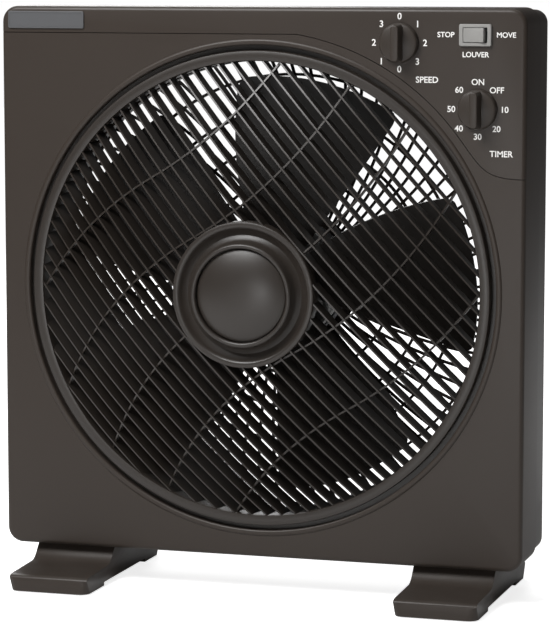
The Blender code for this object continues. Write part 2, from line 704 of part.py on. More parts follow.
def make_impeller():
    hub = [
        (SHAFT_R + 0.0002, 0.0285),
        (0.0070, 0.0285),
        (0.0080, 0.0265),
        (0.0200, 0.0262),
        (0.0290, 0.0285),
        (0.0330, 0.0325),
        (IMPELLER_HUB_R, 0.0370),
        (IMPELLER_HUB_R, 0.0545),
        (IMPELLER_HUB_R - 0.0025, 0.0545),
        (IMPELLER_HUB_R - 0.0025, 0.0380),
        (0.0285, 0.0325),
        (0.0200, 0.0295),
        (0.0095, 0.0293),
        (0.0095, 0.0470),
        (SHAFT_R + 0.0002, 0.0470),
    ]
    impeller = turned("impeller", hub, look="impeller", segments=30)
    blades = bmesh.new()
    root = IMPELLER_HUB_R - 0.0012
    rows, columns = 4, 5
    for blade in range(BLADES):
        middle = BLADE_TURN + 2 * math.pi * blade / BLADES
        front, back = [], []
        for row in range(rows + 1):
            share = row / rows
            radius = root + (IMPELLER_R - root) * share
            half = BLADE_HALF - BLADE_TAPER * share
            rise = 0.0105 + 0.0025 * share
            sweep = BLADE_SWEEP * share
            for column in range(columns + 1):
                along = 2 * column / columns - 1
                reach = 1 - 0.10 * share**6 * abs(along) ** 3
                x, z = polar(radius * reach, middle + sweep + half * along, (0, 0))
                depth = BLADE_MIDDLE - rise * along + 0.004 * share * (along**2 - 0.5)
                front.append(blades.verts.new((x, depth - BLADE_THICK / 2, z)))
                back.append(blades.verts.new((x, depth + BLADE_THICK / 2, z)))
        width = columns + 1
        for row in range(rows):
            for column in range(columns):
                a = row * width + column
                square = (a, a + 1, a + 1 + width, a + width)
                blades.faces.new([front[i] for i in square])
                blades.faces.new([back[i] for i in reversed(square)])
        border = list(range(width))
        border += [row * width + columns for row in range(1, rows + 1)]
        border += [rows * width + column for column in range(columns - 1, -1, -1)]
        border += [row * width for row in range(rows - 1, 0, -1)]
        for here, after in zip(border, border[1:] + border[:1]):
            blades.faces.new((front[after], front[here], back[here], back[after]))
    fuse(impeller, place("blades", blades, (0, FAN_Z), "impeller"))
    nut = [
        (SHAFT_R + 0.0002, 0.0225),
        (0.0060, 0.0225),
        (0.0070, 0.0235),
        (0.0070, 0.0282),
        (SHAFT_R + 0.0002, 0.0282),
    ]
    turned("impeller_nut", nut, look="knob", segments=SMALL_SEGMENTS)
    return impeller


def make_motor():
    axis = (0, FAN_Z)
    disc("motor_shaft", SHAFT_R, 0.0215, 0.0905, axis, "steel", 16)
    tube("rotor_core", SHAFT_R + 0.0002, 0.0216, 0.068, 0.082, axis, "lamination", 24)
    tube("stator_core", 0.0220, MOTOR_R, 0.068, 0.082, axis, "lamination", 24)
    tube("front_winding", 0.0235, 0.0375, 0.0638, 0.068 - GAP, axis, "copper", 20)
    tube("rear_winding", 0.0235, 0.0375, 0.082 + GAP, 0.0864, axis, "copper", 20)
    outer, inner, seat = MOTOR_R - 0.001, MOTOR_R - 0.0028, 0.0074
    front = [
        (seat, 0.0558),
        (0.0105, 0.0558),
        (0.0115, 0.0592),
        (0.0360, 0.0592),
        (outer, 0.0622),
        (outer, 0.068 - GAP),
        (inner, 0.068 - GAP),
        (inner, 0.0635),
        (0.0350, 0.0612),
        (0.0115, 0.0612),
        (0.0115, 0.0630),
        (seat, 0.0630),
    ]
    turned("motor_front_bell", front, axis, "zinc", 24)
    rear = [
        (seat, 0.0850),
        (0.0115, 0.0850),
        (0.0115, 0.0886),
        (0.0350, 0.0886),
        (inner, 0.0868),
        (inner, 0.082 + GAP),
        (outer, 0.082 + GAP),
        (outer, 0.0880),
        (0.0370, 0.0926),
        (seat, 0.0926),
    ]
    bell = turned("motor_rear_bell", rear, axis, "zinc", 24)
    names = ("motor_screw_right", "motor_screw_left")
    for name, at in zip(names, motor_screw_places()):
        cut(bell, disc("hole", 0.0017, 0.08, 0.12, at, segments=8))
        screw(name, at, 0.0036, 0.0958, 0.0982, 0.0013, 0.0890)
    for name, near, far in (("front_bearing", 0.0562, 0.0626), ("rear_bearing", 0.0856, 0.0916)):
        tube(name, SHAFT_R + 0.0001, seat - GAP, near, far, axis, "bronze", 14)


# Controls


def make_knob(name, shaft_name, at):
    """A round skirt with a raised grip bar; the bar's top edge carries the pointer."""
    skirt = [
        (0, -0.0052),
        (KNOB_R - 0.0012, -0.0048),
        (KNOB_R - 0.0003, -0.0040),
        (KNOB_R, -0.0006),
        (0, -0.0006),
    ]
    knob = turned(name, skirt, at, "knob", 24)
    made = bmesh.new()
    sections = []
    for depth, width, length in ((-0.0030, 0.0076, 0.0252), (-0.0135, 0.0060, 0.0236)):
        outline = rounded_rectangle(width, length, 0.0024, 3)
        sections.append([(x, depth, z) for x, z in outline])
    top = rounded_rectangle(0.0046, 0.0222, 0.0017, 3)
    sections.append([(x, -0.0144, z) for x, z in top])
    loft_into(made, sections)
    fuse(knob, place("bar", made, at, "knob"))
    cut(knob, disc("bore", 0.0033, -0.0100, 0.01, at, segments=SMALL_SEGMENTS))
    disc(shaft_name, 0.0030, -0.0096, 0.0105, at, "steel", 16)


def make_switches():
    make_knob("speed_knob", "speed_shaft", SPEED_AT)
    make_knob("timer_knob", "timer_shaft", TIMER_AT)
    body = block("speed_switch_body", 0.030, 0.030, FACE_THICK + GAP, 0.028, SPEED_AT, "switch", 0.002)
    cut(body, disc("bore", 0.0034, -0.01, 0.0110, SPEED_AT, segments=SMALL_SEGMENTS))
    timer = block("timer_body", 0.036, 0.036, FACE_THICK + GAP, 0.034, TIMER_AT, "film", 0.010)
    cut(timer, disc("bore", 0.0034, -0.01, 0.0110, TIMER_AT, segments=SMALL_SEGMENTS))
    switch = block(
        "louver_switch_body", 0.0218, 0.0146, -0.0022, -GAP, ROCKER_AT, "rocker", 0.0012, soft_near=0.0006
    )
    fuse(switch, block("case", 0.0188, 0.0120, -0.0010, 0.0200, ROCKER_AT, "rocker"))
    cut(switch, block("pocket", 0.0166, 0.0102, -0.01, 0.0085, ROCKER_AT, radius=0.0004))
    make_rocker()


def make_rocker():
    """The button drawn level, then turned about its pivot until its left half is pressed in."""
    made = bmesh.new()
    half, tall, tilt = 0.0071, 0.0094, ROCKER_TILT
    profile = [
        (-half, -0.0036),
        (0, -0.0024),
        (half, -0.0036),
        (half, 0.0012),
        (0.0030, 0.0048),
        (-0.0030, 0.0048),
        (-half, 0.0012),
    ]
    sections = []
    for side in (-1, 1):
        section = []
        for x, depth in profile:
            low = depth - ROCKER_PIVOT
            turned_x = x * math.cos(tilt) - low * math.sin(tilt)
            turned_y = x * math.sin(tilt) + low * math.cos(tilt)
            section.append((turned_x, ROCKER_PIVOT + turned_y, side * tall / 2))
        sections.append(section)
    loft_into(made, sections)
    place("louver_rocker", made, ROCKER_AT, "rocker")


def make_electrics():
    block("capacitor", 0.020, 0.034, 0.030, 0.0755, CAPACITOR_AT, "film", 0.003)
    gland = [
        (0.0034, 0.072),
        (0.0056, 0.072),
        (0.0056, BACK_DEPTH + GAP),
        (0.0085, BACK_DEPTH + GAP),
        (0.0080, BACK_DEPTH + 0.003),
        (0.0052, BACK_DEPTH + 0.0065),
        (0.0034, BACK_DEPTH + 0.0065),
    ]
    turned("cord_gland", gland, GLAND_AT, "rubber", 20)


def main():
    clear_scene()
    make_front_housing()
    make_control_panel()
    make_rear_housing()
    make_air_duct()
    make_rear_grille()
    make_feet()
    make_case_screws()
    make_louver_wheel()
    make_louver_drive()
    make_impeller()
    make_motor()
    make_switches()
    make_electrics()


main()
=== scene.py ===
"""Finished look of a box fan with a turning louver wheel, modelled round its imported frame."""

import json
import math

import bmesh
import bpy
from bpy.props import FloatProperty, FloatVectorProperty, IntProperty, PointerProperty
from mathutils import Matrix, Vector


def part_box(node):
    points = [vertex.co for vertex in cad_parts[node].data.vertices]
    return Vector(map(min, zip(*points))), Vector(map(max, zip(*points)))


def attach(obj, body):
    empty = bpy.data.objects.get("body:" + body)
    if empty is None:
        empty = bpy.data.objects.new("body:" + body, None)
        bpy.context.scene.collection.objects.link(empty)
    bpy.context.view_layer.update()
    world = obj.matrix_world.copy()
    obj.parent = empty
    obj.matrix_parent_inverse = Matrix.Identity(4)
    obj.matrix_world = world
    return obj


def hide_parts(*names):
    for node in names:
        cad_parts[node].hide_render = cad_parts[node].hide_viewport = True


bl_info = {
    "name": "Box Fan Finish",
    "version": (1, 0, 0),
    "blender": (4, 5, 0),
    "location": "View3D > Sidebar > Box Fan",
    "description": "Models and finishes the visible pieces of a box fan with a turning louver wheel",
    "category": "Add Mesh",
}

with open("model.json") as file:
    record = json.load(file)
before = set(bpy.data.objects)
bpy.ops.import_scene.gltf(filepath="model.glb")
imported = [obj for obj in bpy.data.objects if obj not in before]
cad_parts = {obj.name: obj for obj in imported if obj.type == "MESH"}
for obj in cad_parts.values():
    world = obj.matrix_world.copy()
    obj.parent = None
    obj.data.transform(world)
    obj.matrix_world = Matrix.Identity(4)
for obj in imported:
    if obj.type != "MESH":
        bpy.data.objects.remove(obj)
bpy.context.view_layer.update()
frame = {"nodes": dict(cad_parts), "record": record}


def middle(node):
    low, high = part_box(node)
    return (low + high) / 2


CASE_LOW, CASE_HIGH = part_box("front_housing")
PANEL_LOW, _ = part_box("control_panel")
FACE_Y = PANEL_LOW.y
FAN_AXIS = middle("louver_wheel")
SPEED_AT = middle("speed_shaft")
TIMER_AT = middle("timer_shaft")
ROCKER_AT = middle("louver_switch_body")
CASE_SCREWS = [(x, 0, z) for x in (CASE_LOW.x + 0.017, CASE_HIGH.x - 0.017) for z in (0.045, 0.382)]
MOTOR_SCREWS = [(FAN_AXIS.x + side, 0, FAN_AXIS.z) for side in (-0.030, 0.030)]


# Sizes and colours


class FanCaseSettings(bpy.types.PropertyGroup):
    """Sizes of the case, its feet and its control panel."""

    width: FloatProperty(
        name="Width", description="Case width", default=CASE_HIGH.x - CASE_LOW.x, unit="LENGTH"
    )
    height: FloatProperty(
        name="Height", description="Case height", default=CASE_HIGH.z - CASE_LOW.z, unit="LENGTH"
    )
    corner: FloatProperty(
        name="Corner", description="Radius of the case corners", default=0.011, unit="LENGTH"
    )
    opening: FloatProperty(
        name="Opening", description="Radius of the round opening", default=0.1658, unit="LENGTH"
    )
    front_depth: FloatProperty(
        name="Front depth", description="Depth of the front half of the case", default=0.044, unit="LENGTH"
    )
    back_depth: FloatProperty(
        name="Back depth", description="Depth of the closed case", default=0.079, unit="LENGTH"
    )
    seam_radius: FloatProperty(
        name="Seam radius", description="Radius of the panel seam round the opening", default=0.1749,
        unit="LENGTH",
    )
    duct: FloatProperty(
        name="Duct", description="Inner radius of the air duct", default=0.1545, unit="LENGTH"
    )
    inlet: FloatProperty(
        name="Inlet", description="Inner radius where the duct meets the rear wall", default=0.1680,
        unit="LENGTH",
    )


class FanLouverSettings(bpy.types.PropertyGroup):
    """Sizes of the louver wheel."""

    rim: FloatProperty(
        name="Rim", description="Inner radius of the wheel's rim", default=0.155, unit="LENGTH"
    )
    hub: FloatProperty(name="Hub", description="Radius of the hub", default=0.0494, unit="LENGTH")
    pitch: FloatProperty(
        name="Slat pitch", description="Distance from slat to slat", default=0.00835, unit="LENGTH"
    )
    thickness: FloatProperty(
        name="Slat thickness", description="Thickness of a slat", default=0.0011, unit="LENGTH"
    )
    depth: FloatProperty(
        name="Slat depth", description="Depth of a slat along the air path", default=0.0148, unit="LENGTH"
    )
    angle: FloatProperty(
        name="Slat angle", description="Slope of the slats seen from the front",
        default=math.radians(-48), subtype="ANGLE",
    )
    bar_pitch: FloatProperty(
        name="Bar pitch", description="Distance from cross bar to cross bar", default=0.0515, unit="LENGTH"
    )
    bar_radius: FloatProperty(
        name="Bar radius", description="Radius that a cross bar is bent to", default=0.25, unit="LENGTH"
    )
    bars: IntProperty(name="Cross bars", description="Number of cross bars", default=5, min=1, max=9)


class FanImpellerSettings(bpy.types.PropertyGroup):
    """Sizes of the impeller and the rear grille."""

    radius: FloatProperty(
        name="Radius", description="Radius over the blade tips", default=0.1440, unit="LENGTH"
    )
    blades: IntProperty(name="Blades", description="Number of blades", default=5, min=2, max=9)
    spread: FloatProperty(
        name="Blade spread", description="Angle that one blade covers at its root",
        default=math.radians(59.2), subtype="ANGLE",
    )
    taper: FloatProperty(
        name="Blade taper", description="How much narrower a blade is at its tip, as a share",
        default=0.247,
    )
    turn: FloatProperty(
        name="Blade turn", description="Angle of the first blade's root", default=math.radians(10.6),
        subtype="ANGLE",
    )
    sweep: FloatProperty(
        name="Blade sweep", description="How far a blade's tip lags its root",
        default=math.radians(-6.4), subtype="ANGLE",
    )
    ribs: IntProperty(name="Ribs", description="Number of rear grille ribs", default=72, min=12, max=96)


class FanFinishSettings(bpy.types.PropertyGroup):
    """Colours of the finishes."""

    case: FloatVectorProperty(
        name="Case", description="Colour of the case plastic", subtype="COLOR",
        default=(0.034, 0.0262, 0.0212),
    )
    louver: FloatVectorProperty(
        name="Louver", description="Colour of the louver wheel", subtype="COLOR",
        default=(0.024, 0.0190, 0.0155),
    )
    impeller: FloatVectorProperty(
        name="Impeller", description="Colour of the blades", subtype="COLOR",
        default=(0.013, 0.0108, 0.0092),
    )
    knob: FloatVectorProperty(
        name="Knob", description="Colour of the knobs", subtype="COLOR",
        default=(0.034, 0.0270, 0.0220),
    )
    rocker: FloatVectorProperty(
        name="Rocker", description="Colour of the rocker switch", subtype="COLOR",
        default=(0.26, 0.255, 0.245),
    )
    badge: FloatVectorProperty(
        name="Badge", description="Colour of the blank badge", subtype="COLOR",
        default=(0.085, 0.086, 0.090),
    )
    legend: FloatVectorProperty(
        name="Legend", description="Colour of the printed legends", subtype="COLOR",
        default=(0.80, 0.79, 0.77),
    )


class FanStageSettings(bpy.types.PropertyGroup):
    """Place, turn and lens of the camera."""

    azimuth: FloatProperty(
        name="Azimuth", description="Angle of the camera round the fan", default=math.radians(17.13),
        subtype="ANGLE",
    )
    elevation: FloatProperty(
        name="Elevation", description="Downward tilt of the camera", default=math.radians(6.93),
        subtype="ANGLE",
    )
    lens: FloatProperty(name="Lens", description="Focal length in millimetres", default=168.2)
    camera_at: FloatVectorProperty(
        name="Camera", description="Place of the camera", subtype="XYZ", unit="LENGTH",
        default=(0.594, FACE_Y - 1.887, 0.434),
    )


def case_sizes():
    return bpy.context.scene.fan_case


def louver_sizes():
    return bpy.context.scene.fan_louver


def impeller_sizes():
    return bpy.context.scene.fan_impeller


def colours():
    return bpy.context.scene.fan_finish

# Modelling by hand, step by step


def object_mode():
    if bpy.context.object and bpy.context.mode != "OBJECT":
        bpy.ops.object.mode_set(mode="OBJECT")
    bpy.ops.object.select_all(action="DESELECT")


def activate(piece):
    object_mode()
    bpy.context.view_layer.objects.active = piece
    piece.select_set(True)


def edit(piece):
    activate(piece)
    bpy.ops.object.mode_set(mode="EDIT")
    bpy.ops.mesh.select_all(action="DESELECT")


def select_edges(piece, chosen):
    """Selects the edges whose two end points satisfy a test."""
    bpy.ops.mesh.select_mode(type="EDGE")
    shape = bmesh.from_edit_mesh(piece.data)
    for edge in shape.edges:
        if chosen(edge.verts[0].co, edge.verts[1].co):
            edge.select_set(True)
    bmesh.update_edit_mesh(piece.data)


def select_points(piece, chosen):
    bpy.ops.mesh.select_mode(type="VERT")
    shape = bmesh.from_edit_mesh(piece.data)
    for point in shape.verts:
        if chosen(point.co):
            point.select_set(True)
    shape.select_flush_mode()
    bmesh.update_edit_mesh(piece.data)


def settled(name):
    """The new primitive, named, with its place and turn put into its mesh."""
    piece = bpy.context.object
    piece.name = name
    bpy.ops.object.transform_apply(location=True, rotation=True, scale=True)
    return piece


def box(name, low, high):
    """A cube primitive, placed and sized by its two corners."""
    object_mode()
    low, high = Vector(low), Vector(high)
    bpy.ops.mesh.primitive_cube_add(size=1, location=(low + high) / 2)
    bpy.context.object.scale = high - low
    return settled(name)


def drum(name, radius, near, far, at, steps):
    """A cylinder primitive along Y, from depth near to depth far behind the face."""
    object_mode()
    place = (at[0], FACE_Y + (near + far) / 2, at[-1])
    bpy.ops.mesh.primitive_cylinder_add(
        vertices=steps, radius=radius, depth=far - near, location=place, rotation=(math.pi / 2, 0, 0)
    )
    return settled(name)


def puck(name, radius, at, low, high):
    """An upright cylinder primitive between two heights."""
    object_mode()
    place = (at[0], at[1], (low + high) / 2)
    bpy.ops.mesh.primitive_cylinder_add(vertices=40, radius=radius, depth=high - low, location=place)
    return settled(name)


def trace(name, points):
    """A line through points, drawn by extruding one vertex."""
    object_mode()
    points = [Vector(point) for point in points]
    bpy.ops.mesh.primitive_plane_add(size=0.001, location=points[0])
    piece = settled(name)
    bpy.ops.object.mode_set(mode="EDIT")
    bpy.ops.mesh.select_mode(type="VERT")
    bpy.ops.mesh.select_all(action="SELECT")
    bpy.ops.mesh.merge(type="CENTER")
    for here, there in zip(points, points[1:]):
        bpy.ops.mesh.extrude_region_move(TRANSFORM_OT_translate={"value": there - here})
    return piece


def extrude(reach):
    """All that is in edit mode drawn out by a vector."""
    bpy.ops.mesh.select_all(action="SELECT")
    bpy.ops.mesh.extrude_region_move(TRANSFORM_OT_translate={"value": reach})


def outward(piece, gap=1e-6):
    """Doubles merged and normals turned out, in edit mode."""
    bpy.ops.mesh.select_all(action="SELECT")
    bpy.ops.mesh.remove_doubles(threshold=gap)
    bpy.ops.mesh.normals_make_consistent(inside=False)
    bpy.ops.object.mode_set(mode="OBJECT")
    return piece


def spin(steps, angle, at):
    """All that is in edit mode spun round the Y axis through a place."""
    bpy.ops.mesh.select_all(action="SELECT")
    bpy.ops.mesh.spin(steps=steps, angle=angle, center=(at[0], FACE_Y, at[-1]), axis=(0, 1, 0))


def lathe(name, profile, at, steps):
    """A profile of (radius, depth) points spun into a solid of revolution."""
    points = [(at[0] + radius, FACE_Y + depth, at[-1]) for radius, depth in profile]
    if profile[0][0] or profile[-1][0]:
        points.append(points[0])
    piece = trace(name, points)
    bpy.ops.mesh.select_all(action="SELECT")
    bpy.ops.mesh.remove_doubles(threshold=1e-6)
    spin(steps, 2 * math.pi, at)
    return outward(piece, 1e-5)


def cast(name, outline, reach):
    """A flat outline of points, filled and extruded by a vector."""
    piece = trace(name, outline)
    bpy.ops.mesh.select_all(action="SELECT")
    bpy.ops.mesh.edge_face_add()
    extrude(reach)
    return outward(piece)


def round_edges(piece, chosen, width, steps):
    edit(piece)
    select_edges(piece, chosen)
    bpy.ops.mesh.bevel(offset=width, segments=steps, affect="EDGES")
    bpy.ops.object.mode_set(mode="OBJECT")
    return piece


def apply(piece, kind, **settings):
    activate(piece)
    step = piece.modifiers.new(kind.title(), kind)
    for name, value in settings.items():
        setattr(step, name, value)
    bpy.ops.object.modifier_apply(modifier=step.name)
    return piece


def combine(piece, tool, operation):
    apply(piece, "BOOLEAN", object=tool, operation=operation, solver="EXACT")
    bpy.data.objects.remove(tool, do_unlink=True)
    return piece


def cut(piece, tool):
    return combine(piece, tool, "DIFFERENCE")


def drill(piece, radius, near, far, spots, steps=24):
    """Round holes along Y, at each spot."""
    for spot in spots:
        cut(piece, drum("hole", radius, near, far, spot, steps))


def merge(name, *parts):
    """Several meshes made one object."""
    activate(parts[0])
    for part in parts[1:]:
        part.select_set(True)
    bpy.ops.object.join()
    parts[0].name = name
    return parts[0]


def about(axis_point, angle, axis="Y"):
    point = Vector(axis_point)
    return Matrix.Translation(point) @ Matrix.Rotation(angle, 4, axis) @ Matrix.Translation(-point)


def repeated(piece, count, first=0.0):
    """Copies of a piece, each with its own mesh, evenly round the fan's axis."""
    copies = []
    for index in range(count):
        activate(piece)
        bpy.ops.object.duplicate(linked=False)
        copies.append(bpy.context.object)
        copies[-1].data.transform(about(FAN_AXIS, first + 2 * math.pi * index / count))
    bpy.data.objects.remove(piece, do_unlink=True)
    return copies


def soften(piece, width, angle):
    """A small radius on every sharp edge, as a mould leaves it."""
    return apply(
        piece, "BEVEL", width=width, segments=3, limit_method="ANGLE", angle_limit=math.radians(angle),
        use_clamp_overlap=True, miter_outer="MITER_ARC",
    )


def curve_points(start, leave, arrive, end, steps):
    """Points of a cubic curve between flat points, without its start."""
    found = []
    for step in range(1, steps + 1):
        t = step / steps
        weights = ((1 - t) ** 3, 3 * t * (1 - t) ** 2, 3 * t * t * (1 - t), t**3)
        spots = (start, leave, arrive, end)
        found.append(tuple(sum(w * s[i] for w, s in zip(weights, spots)) for i in (0, 1)))
    return found


def arch(centre, half, base, rise, steps, power=1.0):
    """Profile points over a rounded edge, from its inner side to its outer one."""
    angles = [math.pi - math.pi * step / steps for step in range(steps + 1)]
    return [(centre + half * math.cos(a), base - rise * math.sin(a) ** power) for a in angles]


def ring_spot(radius, angle):
    """A place on a circle round the fan's axis."""
    return FAN_AXIS.x + radius * math.cos(angle), 0, FAN_AXIS.z + radius * math.sin(angle)


def corners(centre, half_x, half_z, near, far):
    """The two corners of a box round a centre, from depth near to depth far."""
    low = (centre.x - half_x, FACE_Y + near, centre.z - half_z)
    return low, (centre.x + half_x, FACE_Y + far, centre.z + half_z)


def round_box(name, low, high, corner, steps=8, front=0.0, back=0.0):
    """A box with round corners seen from the front, and softened front or back edges."""
    piece = box(name, low, high)
    round_edges(piece, lambda a, b: abs(a.x - b.x) + abs(a.z - b.z) < 1e-6, corner, steps)
    for depth, width in ((low[1], front), (high[1], back)):
        if width:
            round_edges(piece, lambda a, b, y=depth: abs(a.y - y) + abs(b.y - y) < 1e-6, width, 4)
    return piece


def finished(piece, body, material, nodes=(), angle=32):
    """Shading, finish, ride and replaced nodes of a visible piece."""
    activate(piece)
    bpy.ops.object.shade_smooth_by_angle(angle=math.radians(angle))
    piece.data.materials.clear()
    piece.data.materials.append(material)
    object_mode()
    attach(piece, body)
    if nodes:
        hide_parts(*nodes)


# Finishes


def add_node(tree, kind, values=(), **settings):
    """A shader node with its settings, and each input set to a value or joined to a socket."""
    made = tree.nodes.new(f"ShaderNode{kind}")
    for name, value in settings.items():
        setattr(made, name, value)
    wire(tree, made, values)
    return made


def wire(tree, made, values):
    for socket, value in dict(values).items():
        if isinstance(value, bpy.types.NodeSocket):
            tree.links.new(value, made.inputs[socket])
        else:
            made.inputs[socket].default_value = value


def sum_of(tree, operation, *values):
    """The result of a Math node."""
    return add_node(tree, "Math", enumerate(values), operation=operation).outputs[0]


def object_place(tree):
    return add_node(tree, "TexCoord").outputs["Object"]


def new_group(name, inputs, outputs):
    group = bpy.data.node_groups.new(name, "ShaderNodeTree")
    for label, value in inputs.items():
        kind = "NodeSocketColor" if label == "Colour" else "NodeSocketFloat"
        socket = group.interface.new_socket(name=label, in_out="INPUT", socket_type=kind)
        socket.default_value = value
    for label in outputs:
        kind = "NodeSocketColor" if label == "Colour" else "NodeSocketFloat"
        group.interface.new_socket(name=label, in_out="OUTPUT", socket_type=kind)
    return group, group.nodes.new("NodeGroupInput").outputs, group.nodes.new("NodeGroupOutput")


def moulded_grain_group():
    """Fine spark-eroded grain, slow mottling of the colour and a rub that evens the gloss."""
    found = bpy.data.node_groups.get("moulded_grain")
    if found:
        return found
    inputs = {"Colour": (0.03, 0.03, 0.03, 1), "Roughness": 0.4, "Grain Size": 1400.0,
              "Grain Depth": 0.2, "Mottle": 0.08}
    group, given, end = new_group("moulded_grain", inputs, ("Colour", "Roughness", "Height"))
    place = object_place(group)
    fine = {"Vector": place, "Scale": given["Grain Size"], "Detail": 3.0, "Roughness": 0.6}
    grain = add_node(group, "TexNoise", fine).outputs["Fac"]
    slow = {"Vector": place, "Scale": 9.0, "Detail": 4.0}
    cloud = add_node(group, "TexNoise", slow).outputs["Fac"]
    centred = sum_of(group, "SUBTRACT", cloud, 0.5)
    swing = sum_of(group, "MULTIPLY_ADD", centred, given["Mottle"], 1.0)
    tone = add_node(group, "VectorMath", {0: given["Colour"], "Scale": swing}, operation="SCALE")
    speck = sum_of(group, "MULTIPLY_ADD", grain, 0.12, given["Roughness"])
    rub = sum_of(group, "MULTIPLY_ADD", centred, 0.10, speck)
    relief = sum_of(group, "MULTIPLY", grain, given["Grain Depth"])
    wire(group, end, {"Colour": tone.outputs[0], "Roughness": rub, "Height": relief})
    return group


def settled_dust_group():
    """A faint pale film where a surface faces up."""
    found = bpy.data.node_groups.get("settled_dust")
    if found:
        return found
    inputs = {"Colour": (0.03, 0.03, 0.03, 1), "Amount": 0.06}
    group, given, end = new_group("settled_dust", inputs, ("Colour", "Mask"))
    normal = add_node(group, "NewGeometry").outputs["Normal"]
    upward = add_node(group, "SeparateXYZ", {0: normal}).outputs["Z"]
    facing = add_node(group, "MapRange", {"Value": upward, "From Min": 0.35, "From Max": 1.0})
    patchy = {"Vector": object_place(group), "Scale": 60.0, "Detail": 5.0}
    patches = add_node(group, "TexNoise", patchy).outputs["Fac"]
    mask = sum_of(group, "MULTIPLY", facing.outputs[0], patches)
    share = sum_of(group, "MULTIPLY", mask, given["Amount"])
    dust_colour = (0.30, 0.29, 0.27, 1)
    mixed = {"Factor": share, "A": given["Colour"], "B": dust_colour}
    mix = add_node(group, "Mix", mixed, data_type="RGBA")
    wire(group, end, {"Colour": mix.outputs["Result"], "Mask": share})
    return group


def new_material(name):
    """An empty material of this fan, its node tree and its shader."""
    material = bpy.data.materials.new(name)
    material.use_nodes = True
    return material, material.node_tree, material.node_tree.nodes["Principled BSDF"]


def grained(tree, colour, roughness, size, mottle):
    values = {"Colour": (*colour, 1), "Roughness": roughness, "Grain Size": size, "Mottle": mottle}
    return add_node(tree, "Group", values, node_tree=moulded_grain_group()).outputs


def plastic(name, colour, roughness, size=1400.0, mottle=0.08, dust=0.06, shine=0.3):
    """Moulded plastic: grain, mottling and a little dust."""
    name = f"fan_{name}"
    found = bpy.data.materials.get(name)
    if found:
        return found
    material, tree, shader = new_material(name)
    grain = grained(tree, colour, roughness, size, mottle)
    dusty = {"Colour": grain["Colour"], "Amount": dust}
    film = add_node(tree, "Group", dusty, node_tree=settled_dust_group())
    bump = {"Strength": 0.5, "Distance": 0.00006, "Height": grain["Height"]}
    relief = add_node(tree, "Bump", bump)
    wire(tree, shader, {
        "Base Color": film.outputs["Colour"], "Roughness": grain["Roughness"],
        "Normal": relief.outputs["Normal"], "IOR": 1.49, "Specular IOR Level": shine,
    })
    return material


def metal(name, colour, roughness, lines=0.0, line_axis="Y"):
    """Metal with fine scratches and, where lines is set, the stripes of turning or stacked sheet."""
    name = f"fan_{name}"
    found = bpy.data.materials.get(name)
    if found:
        return found
    material, tree, shader = new_material(name)
    grain = grained(tree, colour, roughness, 900.0, 0.25)
    height = grain["Height"]
    if lines:
        waves = {"Vector": object_place(tree), "Scale": lines}
        height = add_node(tree, "TexWave", waves, bands_direction=line_axis).outputs["Fac"]
    relief = add_node(tree, "Bump", {"Strength": 0.4, "Distance": 0.0001, "Height": height})
    wire(tree, shader, {
        "Base Color": grain["Colour"], "Roughness": grain["Roughness"],
        "Normal": relief.outputs["Normal"], "Metallic": 1.0,
    })
    return material


def case_plastic():
    return plastic("case_plastic", colours().case, 0.33)


def louver_plastic():
    return plastic("louver_plastic", colours().louver, 0.30, dust=0.02, shine=0.5)


def impeller_plastic():
    return plastic("impeller_plastic", colours().impeller, 0.34, dust=0.02)


def knob_plastic():
    return plastic("knob_plastic", colours().knob, 0.34, size=1800.0)


def rocker_plastic():
    return plastic("rocker_plastic", colours().rocker, 0.36, mottle=0.03)


def black_rubber():
    return plastic("black_rubber", (0.012, 0.012, 0.012), 0.75, mottle=0.1, dust=0.0)


def zinc():
    return metal("zinc_steel", (0.50, 0.50, 0.49), 0.34)


# Pieces


def panel_zone(name, shift, near, far):
    """The corner of the face that the control panel covers, its seam moved outwards by shift."""
    sizes = case_sizes()
    radius = sizes.seam_radius + shift
    centre_z = FAN_AXIS.z
    seam_rise = 0.1728
    seam_z = centre_z + seam_rise + shift
    start = math.asin((seam_z - centre_z) / radius)
    end_angle = math.radians(36)
    steps = 40
    flat = [(CASE_LOW.x - 0.01, seam_z)]
    for step in range(steps + 1):
        angle = start + (end_angle - start) * step / steps
        flat.append((radius * math.cos(angle), centre_z + radius * math.sin(angle)))
    end, lean = flat[-1], 0.026
    leave = (end[0] + lean * math.sin(end_angle), end[1] - lean * math.cos(end_angle))
    side = (CASE_HIGH.x + 0.001, PANEL_LOW.z - 0.0004 + shift)
    flat += curve_points(end, leave, (side[0] - lean, side[1]), side, 16)
    top = CASE_HIGH.z + 0.02
    flat += [(CASE_HIGH.x + 0.01, side[1]), (CASE_HIGH.x + 0.01, top), (CASE_LOW.x - 0.01, top)]
    outline = [(x, FACE_Y + near, z) for x, z in flat]
    return cast(name, outline, (0, far - near, 0))


def case_box(name, inset, near, far, steps=8, **edges):
    """A box with the case's outline drawn in by inset, from depth near to depth far."""
    low = (CASE_LOW.x + inset, FACE_Y + near, CASE_LOW.z + inset)
    high = (CASE_HIGH.x - inset, FACE_Y + far, CASE_HIGH.z - inset)
    return round_box(name, low, high, case_sizes().corner - inset, steps, **edges)


def front_block(name):
    return case_box(name, 0, 0, case_sizes().front_depth, 10, front=0.003)


def control_holes(piece):
    """Openings for the two knobs' shafts and the rocker switch."""
    shaft_hole, near, far = 0.0045, -0.01, 0.02
    drill(piece, shaft_hole, near, far, (SPEED_AT, TIMER_AT))
    cut(piece, box("rocker_hole", *corners(ROCKER_AT, 0.0097, 0.0063, near, far)))


